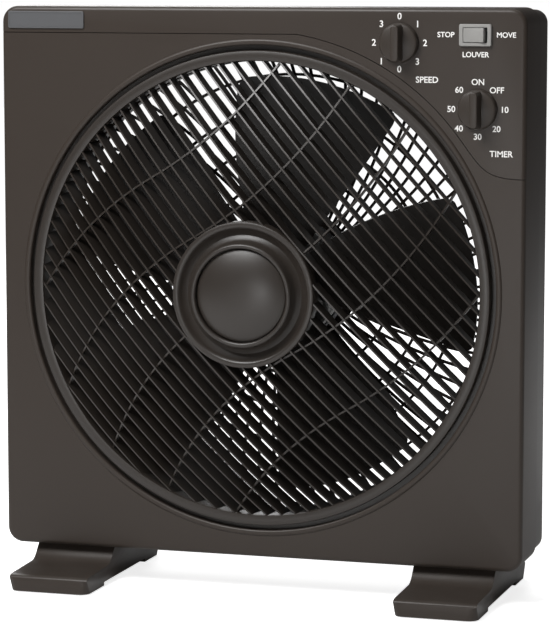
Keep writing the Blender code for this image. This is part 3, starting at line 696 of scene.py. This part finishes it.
class FanMakeCase(bpy.types.Operator):
    """Front half of the case with its rolled opening lip"""

    bl_idname = "boxfan.make_case"
    bl_label = "Front Case"

    def execute(self, context):
        sizes = case_sizes()
        wall, face = 0.0025, 0.005
        shell = front_block("front_case")
        cut(shell, case_box("hollow", wall, face, sizes.front_depth + 0.01))
        cut(shell, drum("opening", sizes.opening + 0.002, -0.01, 0.02, FAN_AXIS, 192))
        cut(shell, panel_zone("recess", 0, -0.01, 0.0025))
        control_holes(shell)
        edge, roll = sizes.opening, 0.0021
        lip = [(edge, face), (edge, 0.0004), *arch(edge + roll, roll, 0.0004, 0.0014, 8)]
        lip += [(edge + 2 * roll, face)]
        rolled = lathe("lip", lip, FAN_AXIS, 192)
        shell = merge("front_case", shell, rolled)
        finished(shell, "housing", case_plastic(), ["front_housing"])
        return {"FINISHED"}


class FanMakePanel(bpy.types.Operator):
    """Control panel along the top and down the right corner, with its blank badge"""

    bl_idname = "boxfan.make_panel"
    bl_label = "Control Panel"

    def execute(self, context):
        panel = front_block("front_panel")
        combine(panel, panel_zone("seam", 0.0005, -0.01, 0.0022), "INTERSECT")
        control_holes(panel)
        material = plastic("panel_plastic", colours().case, 0.31)
        finished(panel, "housing", material, ["control_panel"])
        low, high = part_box("badge_plate")
        badge = round_box("blank_badge", low, high, 0.0014, 6, front=0.0003)
        inset = Vector((0.0012, 0, 0.0012))
        sunk_low = Vector((low.x, low.y - 0.001, low.z)) + inset
        sunk_high = Vector((high.x, low.y + 0.0002, high.z)) - inset
        cut(badge, round_box("field", sunk_low, sunk_high, 0.0008, 4))
        material = plastic("badge_metal", colours().badge, 0.30, size=700.0, mottle=0.05)
        finished(badge, "housing", material, ["badge_plate"])
        return {"FINISHED"}


def legend(text, x, z, size):
    """One printed word or number lying on the panel."""
    object_mode()
    bpy.ops.object.text_add(location=(x, FACE_Y - 0.00002, z), rotation=(math.pi / 2, 0, 0))
    word = bpy.context.object.data
    word.body, word.size = text, size
    word.align_x = word.align_y = "CENTER"
    word.extrude, word.offset, word.resolution_u = 0.00006, 0.00009, 4
    bpy.ops.object.convert(target="MESH")
    return settled("word")


def around(centre, radius, clockwise):
    """A point round a dial, clockwise from its top."""
    angle = math.radians(clockwise)
    return centre.x + radius * math.sin(angle), centre.z + radius * math.cos(angle)


class FanMakeLegends(bpy.types.Operator):
    """Generic numbers and words round the controls"""

    bl_idname = "boxfan.make_legends"
    bl_label = "Legends"

    def execute(self, context):
        number, word = 0.0061, 0.0057
        times = ("ON", "OFF", "10", "20", "30", "40", "50", "60")
        dials = ((SPEED_AT, 0.0175, "01230123", number), (TIMER_AT, 0.0180, times, number * 0.92))
        words = []
        for centre, radius, texts, size in dials:
            for index, text in enumerate(texts):
                words.append(legend(text, *around(centre, radius, 45 * index), size))
        words.append(legend("SPEED", SPEED_AT.x + 0.019, SPEED_AT.z - 0.0243, word))
        words.append(legend("TIMER", TIMER_AT.x + 0.016, TIMER_AT.z - 0.0292, word))
        words.append(legend("STOP", ROCKER_AT.x - 0.0202, ROCKER_AT.z, word * 0.85))
        words.append(legend("MOVE", ROCKER_AT.x + 0.0206, ROCKER_AT.z, word * 0.85))
        words.append(legend("LOUVER", ROCKER_AT.x, ROCKER_AT.z - 0.0130, word * 0.85))
        printed = merge("panel_legends", *words)
        material = plastic("legend_print", colours().legend, 0.5, mottle=0.04, dust=0.0)
        finished(printed, "housing", material)
        return {"FINISHED"}


def dome_depth(radius):
    """Depth of the louver wheel's front surface at a distance from its axis."""
    sizes = louver_sizes()
    hub_front, rim_front = -0.033, -0.002
    share = (radius**2 - sizes.hub**2) / (sizes.rim**2 - sizes.hub**2)
    return hub_front + (rim_front - hub_front) * share


def dome_shell(name, inner, outer, front, back):
    """A solid that follows the dome, from front to back behind its surface."""
    steps = 18
    radii = [inner + (outer - inner) * step / steps for step in range(steps + 1)]
    profile = [(radius, dome_depth(radius) + front) for radius in radii]
    profile += [(radius, dome_depth(radius) + back) for radius in reversed(radii)]
    return lathe(name, profile, FAN_AXIS, 120)


class FanMakeLouver(bpy.types.Operator):
    """Louver wheel: rim, domed slats, cross bars, hub and cap"""

    bl_idname = "boxfan.make_louver"
    bl_label = "Louver Wheel"

    def execute(self, context):
        sizes = louver_sizes()
        material = louver_plastic()
        rim_in, rim_out, run = sizes.rim, 0.1622, 0.168
        rim = [(rim_in, 0.0128), (rim_in, -0.0016)]
        rim += arch((rim_in + rim_out) / 2, (rim_out - rim_in) / 2, -0.0016, 0.0014, 6, 0.6)
        rim += [(rim_out, 0.0055), (run, 0.0055), (run, 0.0080), (0.1602, 0.0080), (0.1602, 0.0128)]
        ring = lathe("louver_rim", rim, FAN_AXIS, 192)
        finished(ring, "louver", material, ["louver_wheel"])

        finished(self.slats(sizes, rim_in), "louver", material)
        finished(self.bars(sizes, rim_in), "louver", material)

        hub = [(0, -0.0335), (0.0317, -0.0335), (0.0317, -0.0380)]
        hub += arch(0.0333, 0.0016, -0.0383, 0.0014, 6)
        hub += [(0.0356, -0.0330), (0.0372, -0.0308), (0.0400, -0.0296), (0.0428, -0.0308)]
        hub += [(0.0442, -0.0326), (0.0452, -0.0340), (0.0462, -0.0345), (0.0480, -0.0345)]
        hub += [(0.0490, -0.0341), (0.0494, -0.0333), (0.0494, -0.0240), (0.0470, -0.0240)]
        hub += [(0.0465, -0.0268), (0.0350, -0.0268), (0.0330, -0.0303), (0, -0.0303)]
        dish = lathe("louver_hub", hub, FAN_AXIS, 128)
        finished(dish, "louver", material)

        top, crown, fall, steps = -0.0424, 0.0300, 0.0052, 12
        cap = [(crown * step / steps, top + fall * (step / steps) ** 2.4) for step in range(steps + 1)]
        cap += [(0.0308, -0.0368), (0.0312, -0.0358), (0.0312, -0.0338), (0, -0.0338)]
        dome = lathe("louver_cap_dome", cap, FAN_AXIS, 128)
        finished(dome, "louver", material, ["louver_cap"])
        return {"FINISHED"}

    def slats(self, sizes, rim_in):
        """Straight upright plates, leaning a little with the dome, trimmed to the dome's depth."""
        count = int((rim_in - 0.004) / sizes.pitch)
        deep, follow, dome_height = 0.070, 0.3, 0.031
        lean = follow * 2 * dome_height / (sizes.rim**2 - sizes.hub**2)
        plates = []
        for index in range(-count, count + 1):
            offset = index * sizes.pitch
            half = math.sqrt((rim_in + 0.002) ** 2 - offset**2)
            low = (-half, -deep / 2, offset - sizes.thickness / 2)
            high = (half, deep / 2, offset + sizes.thickness / 2)
            plate = box("plate", low, high)
            front = dome_depth(abs(offset))
            plate.data.transform(about((0, front, offset), math.atan(-offset * lean), "X"))
            plates.append(plate)
        return self.fitted("louver_slats", plates, sizes, 0, sizes.depth)

    def bars(self, sizes, rim_in):
        """Bent upright strips, trimmed to lie just behind the fronts of the slats."""
        lean, deep, thick = 0.22, 0.14, 0.0012
        spans = []
        for index in range(sizes.bars):
            start = (index - (sizes.bars - 1) / 2) * sizes.bar_pitch
            runs = [rim_in * step / 24 for step in range(-25, 26)]
            bend = [run * abs(run) / (2 * sizes.bar_radius) for run in runs]
            line = [(start + lean * run - turn, -deep / 2, run) for run, turn in zip(runs, bend)]
            strip = trace("bar", line)
            extrude((0, deep, 0))
            outward(strip)
            spans.append(apply(strip, "SOLIDIFY", thickness=thick, offset=0))
        return self.fitted("louver_bars", spans, sizes, 0.0025, 0.0075)

    def fitted(self, name, strips, sizes, front, back):
        """Strips joined, turned to the slats' slope and trimmed to the dome."""
        joined = merge(name, *strips)
        place = Matrix.Translation((FAN_AXIS.x, FACE_Y, FAN_AXIS.z))
        joined.data.transform(place @ Matrix.Rotation(-sizes.angle, 4, "Y"))
        shell = dome_shell("dome", sizes.hub - 0.0012, sizes.rim + 0.001, front, back)
        return combine(joined, shell, "INTERSECT")


class FanMakeImpeller(bpy.types.Operator):
    """Five wide blades on a cup-shaped hub"""

    bl_idname = "boxfan.make_impeller"
    bl_label = "Impeller"

    def execute(self, context):
        sizes = impeller_sizes()
        hub = [(0.0042, 0.0285), (0.0070, 0.0285), (0.0080, 0.0266), (0.0200, 0.0262)]
        hub += curve_points((0.0200, 0.0262), (0.0280, 0.0266), (0.0340, 0.0300), (0.0340, 0.0380), 8)
        hub += [(0.0340, 0.0545), (0.0315, 0.0545), (0.0315, 0.0390)]
        hub += curve_points((0.0315, 0.0390), (0.0312, 0.0320), (0.0270, 0.0296), (0.0200, 0.0295), 6)
        hub += [(0.0095, 0.0293), (0.0095, 0.0470), (0.0042, 0.0470)]
        cup = lathe("impeller_hub", hub, FAN_AXIS, 96)
        root, count = 0.0332, 12
        reach = [root + (sizes.radius - root) * step / count for step in range(count + 1)]
        sheet = trace("blade", [(FAN_AXIS.x + radius, FACE_Y, FAN_AXIS.z) for radius in reach])
        spin(24, sizes.spread, FAN_AXIS)
        outward(sheet)
        self.shape_blade(sheet, sizes)
        impeller = merge("fan_impeller", cup, *repeated(sheet, sizes.blades, -sizes.turn))
        finished(impeller, "fan", impeller_plastic(), ["impeller"], angle=40)
        return {"FINISHED"}

    def shape_blade(self, sheet, sizes):
        """Pitch, camber and sweep of one blade, then rounded tip corners and a wall."""
        root = 0.034
        middle_depth, rise, tip_rise, cup = 0.0375, 0.0105, 0.0025, 0.004
        for point in sheet.data.vertices:
            x, z = point.co.x - FAN_AXIS.x, point.co.z - FAN_AXIS.z
            radius = math.hypot(x, z)
            share = max(0.0, (radius - root) / (sizes.radius - root))
            angle = math.atan2(z, x)
            along = 1 - 2 * abs(angle) / sizes.spread
            spot = sizes.spread / 2 * along * (1 - sizes.taper * share) + sizes.sweep * share
            depth = middle_depth - (rise + tip_rise * share) * along + cup * share * (along**2 - 0.5)
            point.co = (
                FAN_AXIS.x + radius * math.cos(spot),
                FACE_Y + depth,
                FAN_AXIS.z + radius * math.sin(spot),
            )
        edit(sheet)
        tips = sizes.radius - 1e-5
        half = sizes.spread / 2 * (1 - sizes.taper)

        def at_corner(point):
            x, z = point.x - FAN_AXIS.x, point.z - FAN_AXIS.z
            from_end = abs(abs(math.atan2(z, x) - sizes.sweep) - half)
            return math.hypot(x, z) > tips and from_end < 0.004

        select_points(sheet, at_corner)
        bpy.ops.mesh.bevel(offset=0.016, segments=6, affect="VERTICES")
        bpy.ops.object.mode_set(mode="OBJECT")
        apply(sheet, "SOLIDIFY", thickness=0.0022, offset=0)


class FanMakeBack(bpy.types.Operator):
    """Rear half of the case, its air duct and the domed rear grille"""

    bl_idname = "boxfan.make_back"
    bl_label = "Rear Case"

    def execute(self, context):
        sizes = case_sizes()
        inset, wall = 0.002, 0.003
        start = sizes.front_depth + 0.0003
        shell = case_box("rear_case", inset, start, sizes.back_depth, 10, back=0.005)
        cut(shell, case_box("hollow", inset + wall, start - 0.01, sizes.back_depth - wall))
        drill(shell, sizes.inlet, 0.05, 0.1, [FAN_AXIS], 192)
        drill(shell, 0.0048, 0.07, 0.1, CASE_SCREWS, 32)
        drill(shell, 0.006, 0.07, 0.1, [middle("cord_gland")], 32)
        skin, end = 0.002, sizes.back_depth - wall - 0.0003
        duct = [(sizes.duct + skin / 2, 0.018), (sizes.duct + skin, 0.0188), (sizes.duct + skin, 0.028)]
        duct += [(sizes.inlet + skin, end), (sizes.inlet, end), (sizes.duct, 0.028)]
        duct += [(sizes.duct, 0.0188)]
        ring = lathe("duct_ring", duct, FAN_AXIS, 192)
        finished(ring, "housing", case_plastic(), ["air_duct"])
        tube = [(0.0048, 0.0503), (0.0065, 0.0503), (0.0065, 0.0765), (0.0048, 0.0765)]
        case = merge("rear_case", shell, *[lathe("well", tube, spot, 32) for spot in CASE_SCREWS])
        finished(case, "housing", case_plastic(), ["rear_housing"])
        self.make_grille()
        return {"FINISHED"}

    def make_grille(self):
        sizes = impeller_sizes()
        hub_r, edge_r, screw_r, flange_r = 0.046, 0.166, 0.174, 0.1775
        flat, top, rib_width = 0.0818, 0.0955, 0.0021
        full_swirl = math.radians(12)

        def depth_at(radius):
            share = min(1, max(0, (edge_r - radius) / (edge_r - hub_r)))
            return flat + (top - flat) * math.sin(share * math.pi / 2)

        def rib_point(radius, back):
            x, _, z = ring_spot(radius, full_swirl * (radius - hub_r) / (edge_r - hub_r))
            return x, FACE_Y + depth_at(radius) - back, z

        steps = 14
        radii = [hub_r - 0.001 + (edge_r + 0.002 - hub_r) * step / steps for step in range(steps + 1)]
        rib = trace("rib", [rib_point(radius, 0.0002) for radius in radii])
        extrude((0, -rib_width, 0))
        outward(rib)
        apply(rib, "SOLIDIFY", thickness=rib_width, offset=0, use_even_offset=True)
        apply(rib, "BEVEL", width=0.0004, segments=2, limit_method="ANGLE", angle_limit=0.9)
        parts = repeated(rib, sizes.ribs)
        for radius in (0.070, 0.094, 0.118, 0.142):
            outer = radius + 0.002
            near, far = depth_at(radius), depth_at(outer)
            band = [(radius, near - 0.0024), (radius, near - 0.0005), (radius + 0.0004, near)]
            band += [(outer - 0.0004, far), (outer, far - 0.0005), (outer, far - 0.0024)]
            parts.append(lathe("band", band, FAN_AXIS, 144))
        flange = [(edge_r, flat - 0.0025), (flange_r, flat - 0.0025), (flange_r, flat - 0.0008)]
        flange += [(flange_r - 0.0008, flat), (edge_r + 0.0006, flat), (edge_r, flat - 0.0006)]
        ring = lathe("flange", flange, FAN_AXIS, 192)
        plate = [(0, top - 0.0025), (hub_r, top - 0.0025), (hub_r + 0.0008, top - 0.0018)]
        plate += [(hub_r + 0.0006, top - 0.0006), (hub_r - 0.0004, top), (0.0395, top)]
        plate += [(0.0385, top - 0.0008), (0.0150, top - 0.0008), (0.0140, top), (0, top)]
        centre = lathe("motor_plate", plate, FAN_AXIS, 128)
        screws = [ring_spot(screw_r, math.radians(angle)) for angle in range(45, 360, 90)]
        vents = [ring_spot(0.0265, math.radians(angle)) for angle in range(30, 360, 60)]
        drill(ring, 0.0019, 0.05, 0.12, screws)
        drill(centre, 0.0045, 0.05, 0.12, vents, 32)
        drill(centre, 0.0021, 0.05, 0.12, MOTOR_SCREWS)
        grille = merge("rear_guard", ring, centre, *parts)
        finished(grille, "housing", case_plastic(), ["rear_grille"])


class FanMakeFeet(bpy.types.Operator):
    """Two stepped feet with rubber pads"""

    bl_idname = "boxfan.make_feet"
    bl_label = "Feet"

    def execute(self, context):
        for side in ("left", "right"):
            low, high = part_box(f"{side}_foot")
            foot = self.foot(f"{side}_stand", low, high)
            finished(foot, "housing", case_plastic(), [f"{side}_foot"])
            for end in ("front", "back"):
                self.pad(side, end)
        return {"FINISHED"}

    def foot(self, name, low, high):
        """A side profile of front toe, long tread, S-shaped neck and heel, cast across the width."""
        toe, heel, floor = low.y, high.y, low.z
        joint = FACE_Y + case_sizes().front_depth
        neck, rear_neck = CASE_LOW.z - 0.0003, high.z
        flat = [(toe, floor), (toe, 0.0092)]
        flat += curve_points((toe, 0.0092), (toe, 0.0116), (toe + 0.003, 0.0121), (toe + 0.007, 0.0122), 6)
        flat += [(toe + 0.026, 0.0128)]
        tread = toe + 0.040
        flat += curve_points((tread, 0.0132), (tread + 0.010, 0.0138), (tread + 0.010, 0.0200),
                             (tread + 0.017, neck), 12)
        flat += [(joint, neck), (joint, rear_neck), (heel - 0.034, rear_neck)]
        flat += curve_points((heel - 0.034, rear_neck), (heel - 0.028, 0.0200),
                             (heel - 0.028, 0.0138), (heel - 0.020, 0.0132), 12)
        flat += [(heel - 0.006, 0.0122)]
        flat += curve_points((heel - 0.006, 0.0122), (heel - 0.002, 0.0120), (heel, 0.0112),
                             (heel, 0.0092), 5)
        flat += [(heel, floor), (heel - 0.032, floor), (heel - 0.032, 0.003)]
        flat += [(toe + 0.034, 0.003), (toe + 0.034, floor)]
        foot = cast(name, [(low.x, y, z) for y, z in flat], (high.x - low.x, 0, 0))

        def post(a, b):
            upright = abs(a.x - b.x) + abs(a.y - b.y) < 1e-6
            return upright and (abs(a.y - toe) < 1e-5 or abs(a.y - heel) < 1e-5)

        round_edges(foot, post, 0.007, 8)
        soften(foot, 0.0006, 50)
        for depth in (FACE_Y - 0.030, FACE_Y + 0.088):
            cut(foot, puck("seat", 0.0075, ((low.x + high.x) / 2, depth), -0.01, 0.0027))
        return foot

    def pad(self, side, end):
        node = f"foot_pad_{side}_{end}"
        low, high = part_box(node)
        pad = puck(f"rubber_{side}_{end}", (high.y - low.y) / 2, (low + high) / 2, low.z, high.z)
        round_edges(pad, lambda a, b: a.z < 1e-5 and b.z < 1e-5, 0.0005, 3)
        finished(pad, "housing", black_rubber(), [node])


class FanMakeControls(bpy.types.Operator):
    """Two bar knobs and the rocker switch"""

    bl_idname = "boxfan.make_controls"
    bl_label = "Controls"

    def execute(self, context):
        self.knob("speed_dial", "speed_control", "speed_knob", SPEED_AT)
        self.knob("timer_dial", "timer_control", "timer_knob", TIMER_AT)
        self.rocker()
        return {"FINISHED"}

    def knob(self, name, body, node, at):
        skirt = [(0, -0.0054), (0.0112, -0.0050), (0.0124, -0.0045), (0.0131, -0.0035)]
        skirt += [(0.0133, -0.0022), (0.0133, -0.0006), (0, -0.0006)]
        disc = lathe(name, skirt, at, 96)
        low, high = corners(at, 0.0037, 0.0126, -0.0144, -0.0030)
        bar = round_box("grip", low, high, 0.0026, 6)
        edit(bar)
        select_points(bar, lambda p: abs(p.y - low[1]) < 1e-6)
        bpy.ops.transform.resize(value=(0.72, 1, 0.94), center_override=(at.x, low[1], at.z))
        bpy.ops.object.mode_set(mode="OBJECT")
        round_edges(bar, lambda a, b: abs(a.y - low[1]) + abs(b.y - low[1]) < 1e-6, 0.0007, 3)
        knob = merge(name, disc, bar)
        finished(knob, body, knob_plastic(), [node])

    def rocker(self):
        centre = ROCKER_AT
        low, high = corners(centre, 0.0109, 0.0073, -0.0022, -0.0003)
        bezel = round_box("rocker_frame", low, high, 0.0013, 6, front=0.0006)
        combine(bezel, box("body", *corners(centre, 0.0094, 0.0060, -0.0010, 0.0200)), "UNION")
        cut(bezel, round_box("pocket", *corners(centre, 0.0083, 0.0051, -0.01, 0.0085), 0.0006, 4))
        finished(bezel, "housing", rocker_plastic(), ["louver_switch_body"])
        half, tall = 0.0071, 0.0094
        pivot = Vector((centre.x, FACE_Y + 0.003, centre.z))
        flat = [(-half, 0.0012), (-half, -0.0036)]
        flat += [(-half + 2 * half * step / 12, -0.0024 - 0.0012 * (2 * step / 12 - 1) ** 2)
                 for step in range(1, 12)]
        flat += [(half, -0.0036), (half, 0.0012), (0.0030, 0.0048), (-0.0030, 0.0048)]
        outline = [(centre.x + x, FACE_Y + y, centre.z - tall / 2) for x, y in flat]
        button = cast("rocker_button", outline, (0, 0, tall))
        soften(button, 0.0004, 30)
        button.data.transform(about(pivot, math.radians(-8), "Z"))
        finished(button, "rocker", rocker_plastic(), ["louver_rocker"])


class FanMakeFasteners(bpy.types.Operator):
    """Cross-recessed screws on the back and the cord gland"""

    bl_idname = "boxfan.make_fasteners"
    bl_label = "Fasteners"

    def execute(self, context):
        spots = ("lower_left", "lower_right", "upper_left", "upper_right")
        names = [f"grille_screw_{spot}" for spot in spots]
        names += ["motor_screw_left", "motor_screw_right"]
        names += [f"housing_screw_{spot}" for spot in spots]
        for name in names:
            self.screw(name)
        flange = 0.0793
        gland = [(0.0034, 0.072), (0.0056, 0.072), (0.0056, flange), (0.0085, flange)]
        gland += [(0.0085, flange + 0.0018), (0.0078, flange + 0.0027), (0.0062, flange + 0.0030)]
        gland += [(0.0054, flange + 0.0040), (0.0050, 0.0855), (0.0040, 0.0855), (0.0034, 0.0848)]
        bush = lathe("gland_bush", gland, middle("cord_gland"), 64)
        finished(bush, "housing", black_rubber(), ["cord_gland"])
        return {"FINISHED"}

    def screw(self, node):
        low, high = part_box(node)
        centre = (low + high) / 2
        head = (high.x - low.x) / 2
        back = high.y - FACE_Y
        tip = low.y - FACE_Y
        shank = head * 0.33
        seat = back - head * 0.62
        profile = [(0, tip), (shank * 0.5, tip), (shank, tip + 0.0015), (shank, seat), (head, seat)]
        profile += [(head, back - head * 0.30), (head * 0.86, back - head * 0.10)]
        profile += [(head * 0.55, back - head * 0.01), (0, back)]
        piece = lathe(f"{node}_pan", profile, centre, 40)
        reach, width = head * 0.58, head * 0.13
        for wide, tall in ((reach, width), (width, reach)):
            cut(piece, box("recess", *corners(centre, wide, tall, back - head * 0.35, back + 0.01)))
        finished(piece, "housing", zinc(), [node])


class FanMakeMotor(bpy.types.Operator):
    """Pressed motor bells and laminated stator core"""

    bl_idname = "boxfan.make_motor"
    bl_label = "Motor"

    def execute(self, context):
        outer, seat = 0.041, 0.0074
        front = [(seat, 0.0558), (0.0105, 0.0558), (0.0113, 0.0566), (0.0117, 0.0588), (0.0360, 0.0592)]
        front += curve_points((0.0360, 0.0592), (0.0390, 0.0594), (outer, 0.0606), (outer, 0.0630), 6)
        front += [(outer, 0.0677), (0.0392, 0.0677), (0.0392, 0.0636), (0.0350, 0.0612)]
        front += [(0.0115, 0.0612), (0.0115, 0.0630), (seat, 0.0630)]
        bell = lathe("front_bell_pressing", front, FAN_AXIS, 96)
        vents = [ring_spot(0.026, 2 * math.pi * index / 8) for index in range(8)]
        drill(bell, 0.0035, 0.055, 0.066, vents)
        finished(bell, "housing", zinc(), ["motor_front_bell"])
        rear = [(seat, 0.0850), (0.0115, 0.0850), (0.0115, 0.0886), (0.0350, 0.0886)]
        rear += [(0.0382, 0.0868), (0.0392, 0.0823), (outer, 0.0823), (outer, 0.0870)]
        rear += curve_points((outer, 0.0870), (outer, 0.0900), (0.0390, 0.0924), (0.0360, 0.0926), 6)
        rear += [(seat, 0.0926)]
        bell = lathe("rear_bell_pressing", rear, FAN_AXIS, 96)
        drill(bell, 0.0017, 0.08, 0.12, MOTOR_SCREWS)
        finished(bell, "housing", zinc(), ["motor_rear_bell"])
        core = [(0.0220, 0.068), (0.0415, 0.068), (0.042, 0.0684), (0.042, 0.0816), (0.0415, 0.082)]
        core += [(0.0220, 0.082)]
        stack = lathe("stator_stack", core, FAN_AXIS, 96)
        material = metal("lamination_steel", (0.16, 0.16, 0.17), 0.42, lines=640.0)
        finished(stack, "housing", material, ["stator_core"])
        return {"FINISHED"}


class FanFinishCarried(bpy.types.Operator):
    """Finishes of the pieces that keep their own shape"""

    bl_idname = "boxfan.finish_carried"
    bl_label = "Carried Pieces"

    def execute(self, context):
        finishes = {
            "steel": metal("ground_steel", (0.56, 0.56, 0.57), 0.25),
            "zinc_steel": zinc(),
            "lamination_steel": metal("rotor_steel", (0.18, 0.18, 0.19), 0.42, lines=640.0),
            "copper_winding": metal("copper_wire", (0.62, 0.25, 0.09), 0.32, lines=420.0, line_axis="Z"),
            "bronze": metal("sintered_bronze", (0.42, 0.28, 0.13), 0.5),
            "black_rubber": plastic("drive_rubber", (0.013, 0.013, 0.013), 0.8, mottle=0.1, dust=0.0),
            "switch_plastic": plastic("phenolic", (0.012, 0.012, 0.013), 0.45),
            "pale_plastic": plastic("nylon", (0.55, 0.54, 0.50), 0.42, mottle=0.05),
            "knob_plastic": knob_plastic(),
            "case_plastic": case_plastic(),
        }
        slots = {entry["node"]: entry["material_slot"] for entry in frame["record"]["subparts"]}
        for name, node in frame["nodes"].items():
            if node.hide_render:
                continue
            node.data.materials.clear()
            node.data.materials.append(finishes[slots[name]])
        return {"FINISHED"}


class FanMakeStage(bpy.types.Operator):
    """Plain pale floor, soft studio light and the camera"""

    bl_idname = "boxfan.make_stage"
    bl_label = "Stage"

    def execute(self, context):
        self.camera()
        self.floor()
        self.lights()
        return {"FINISHED"}

    def camera(self):
        stage = bpy.context.scene.fan_stage
        object_mode()
        turn = (math.pi / 2 - stage.elevation, 0, stage.azimuth)
        bpy.ops.object.camera_add(location=stage.camera_at, rotation=turn)
        camera = bpy.context.object
        camera.data.lens = stage.lens
        camera.data.sensor_width = 36.0
        camera.data.clip_end = 50
        bpy.context.scene.camera = camera

    def floor(self):
        object_mode()
        bpy.ops.mesh.primitive_plane_add(size=12, location=(0, 0, -0.0002))
        floor = bpy.context.object
        floor.name = "floor"
        material, tree, shader = new_material("pale_floor")
        away = add_node(tree, "VectorMath", {0: object_place(tree)}, operation="LENGTH")
        reach = {"Value": away.outputs["Value"], "From Min": 0.4, "From Max": 2.2}
        fade = add_node(tree, "MapRange", {**reach, "To Min": 0.80, "To Max": 1.0}).outputs[0]
        camera_ray = add_node(tree, "LightPath").outputs["Is Camera Ray"]
        wire(tree, shader, {
            "Base Color": (0.92, 0.92, 0.92, 1), "Roughness": 0.9, "Specular IOR Level": 0.1,
            "Emission Color": (1, 1, 1, 1),
            "Emission Strength": sum_of(tree, "MULTIPLY", camera_ray, fade),
        })
        floor.data.materials.append(material)

    def area(self, name, at, aim, size, power):
        object_mode()
        bpy.ops.object.light_add(type="AREA", location=at)
        light = bpy.context.object
        light.name = name
        light.data.shape = "RECTANGLE"
        light.data.size, light.data.size_y = size
        light.data.energy = power
        direction = Vector(aim) - Vector(at)
        light.rotation_euler = direction.to_track_quat("-Z", "Y").to_euler()

    def lights(self):
        world = bpy.context.scene.world or bpy.data.worlds.new("studio")
        bpy.context.scene.world = world
        world.use_nodes = True
        tree = world.node_tree
        tree.nodes.clear()
        lit, seen = (
            add_node(tree, "Background", {"Color": (1, 1, 1, 1), "Strength": strength}).outputs[0]
            for strength in (0.07, 1.0)
        )
        camera_ray = add_node(tree, "LightPath").outputs["Is Camera Ray"]
        mix = add_node(tree, "MixShader", {0: camera_ray, 1: lit, 2: seen})
        add_node(tree, "OutputWorld", {0: mix.outputs[0]})
        self.area("key_softbox", (-0.4, -0.9, 1.25), (0, 0, 0.3), (0.8, 0.6), 23)
        self.area("top_softbox", (0.0, 0.1, 2.2), (0, 0, 0), (2.0, 1.6), 11)
        self.area("rear_softbox", (-0.9, 1.6, 1.2), (0, 0, 0.2), (1.0, 1.0), 16)
        self.area("front_softbox", (0.05, -1.7, 0.14), (0, 0, 0.22), (0.4, 0.3), 3.2)
        bpy.context.scene.view_settings.view_transform = "Standard"


class FanPanel(bpy.types.Panel):
    """Lists the fan's pieces"""

    bl_idname = "VIEW3D_PT_box_fan"
    bl_label = "Box Fan"
    bl_space_type = "VIEW_3D"
    bl_region_type = "UI"
    bl_category = "Box Fan"

    def draw(self, context):
        for maker in MAKERS:
            self.layout.operator(maker.bl_idname)


MAKERS = (
    FanMakeCase,
    FanMakePanel,
    FanMakeLegends,
    FanMakeLouver,
    FanMakeImpeller,
    FanMakeBack,
    FanMakeFeet,
    FanMakeControls,
    FanMakeFasteners,
    FanMakeMotor,
    FanFinishCarried,
    FanMakeStage,
)
SETTINGS = {
    "fan_case": FanCaseSettings,
    "fan_louver": FanLouverSettings,
    "fan_impeller": FanImpellerSettings,
    "fan_finish": FanFinishSettings,
    "fan_stage": FanStageSettings,
}


def register():
    for settings in SETTINGS.values():
        bpy.utils.register_class(settings)
    for name, settings in SETTINGS.items():
        setattr(bpy.types.Scene, name, PointerProperty(type=settings))
    for maker in MAKERS:
        bpy.utils.register_class(maker)
    bpy.utils.register_class(FanPanel)


def unregister():
    bpy.utils.unregister_class(FanPanel)
    for maker in reversed(MAKERS):
        bpy.utils.unregister_class(maker)
    for name, settings in SETTINGS.items():
        delattr(bpy.types.Scene, name)
        bpy.utils.unregister_class(settings)


def main():
    register()
    bpy.ops.boxfan.make_stage()
    bpy.ops.boxfan.make_case()
    bpy.ops.boxfan.make_panel()
    bpy.ops.boxfan.make_legends()
    bpy.ops.boxfan.make_louver()
    bpy.ops.boxfan.make_impeller()
    bpy.ops.boxfan.make_back()
    bpy.ops.boxfan.make_feet()
    bpy.ops.boxfan.make_controls()
    bpy.ops.boxfan.make_fasteners()
    bpy.ops.boxfan.make_motor()
    bpy.ops.boxfan.finish_carried()


if __name__ == "__main__":
    main()
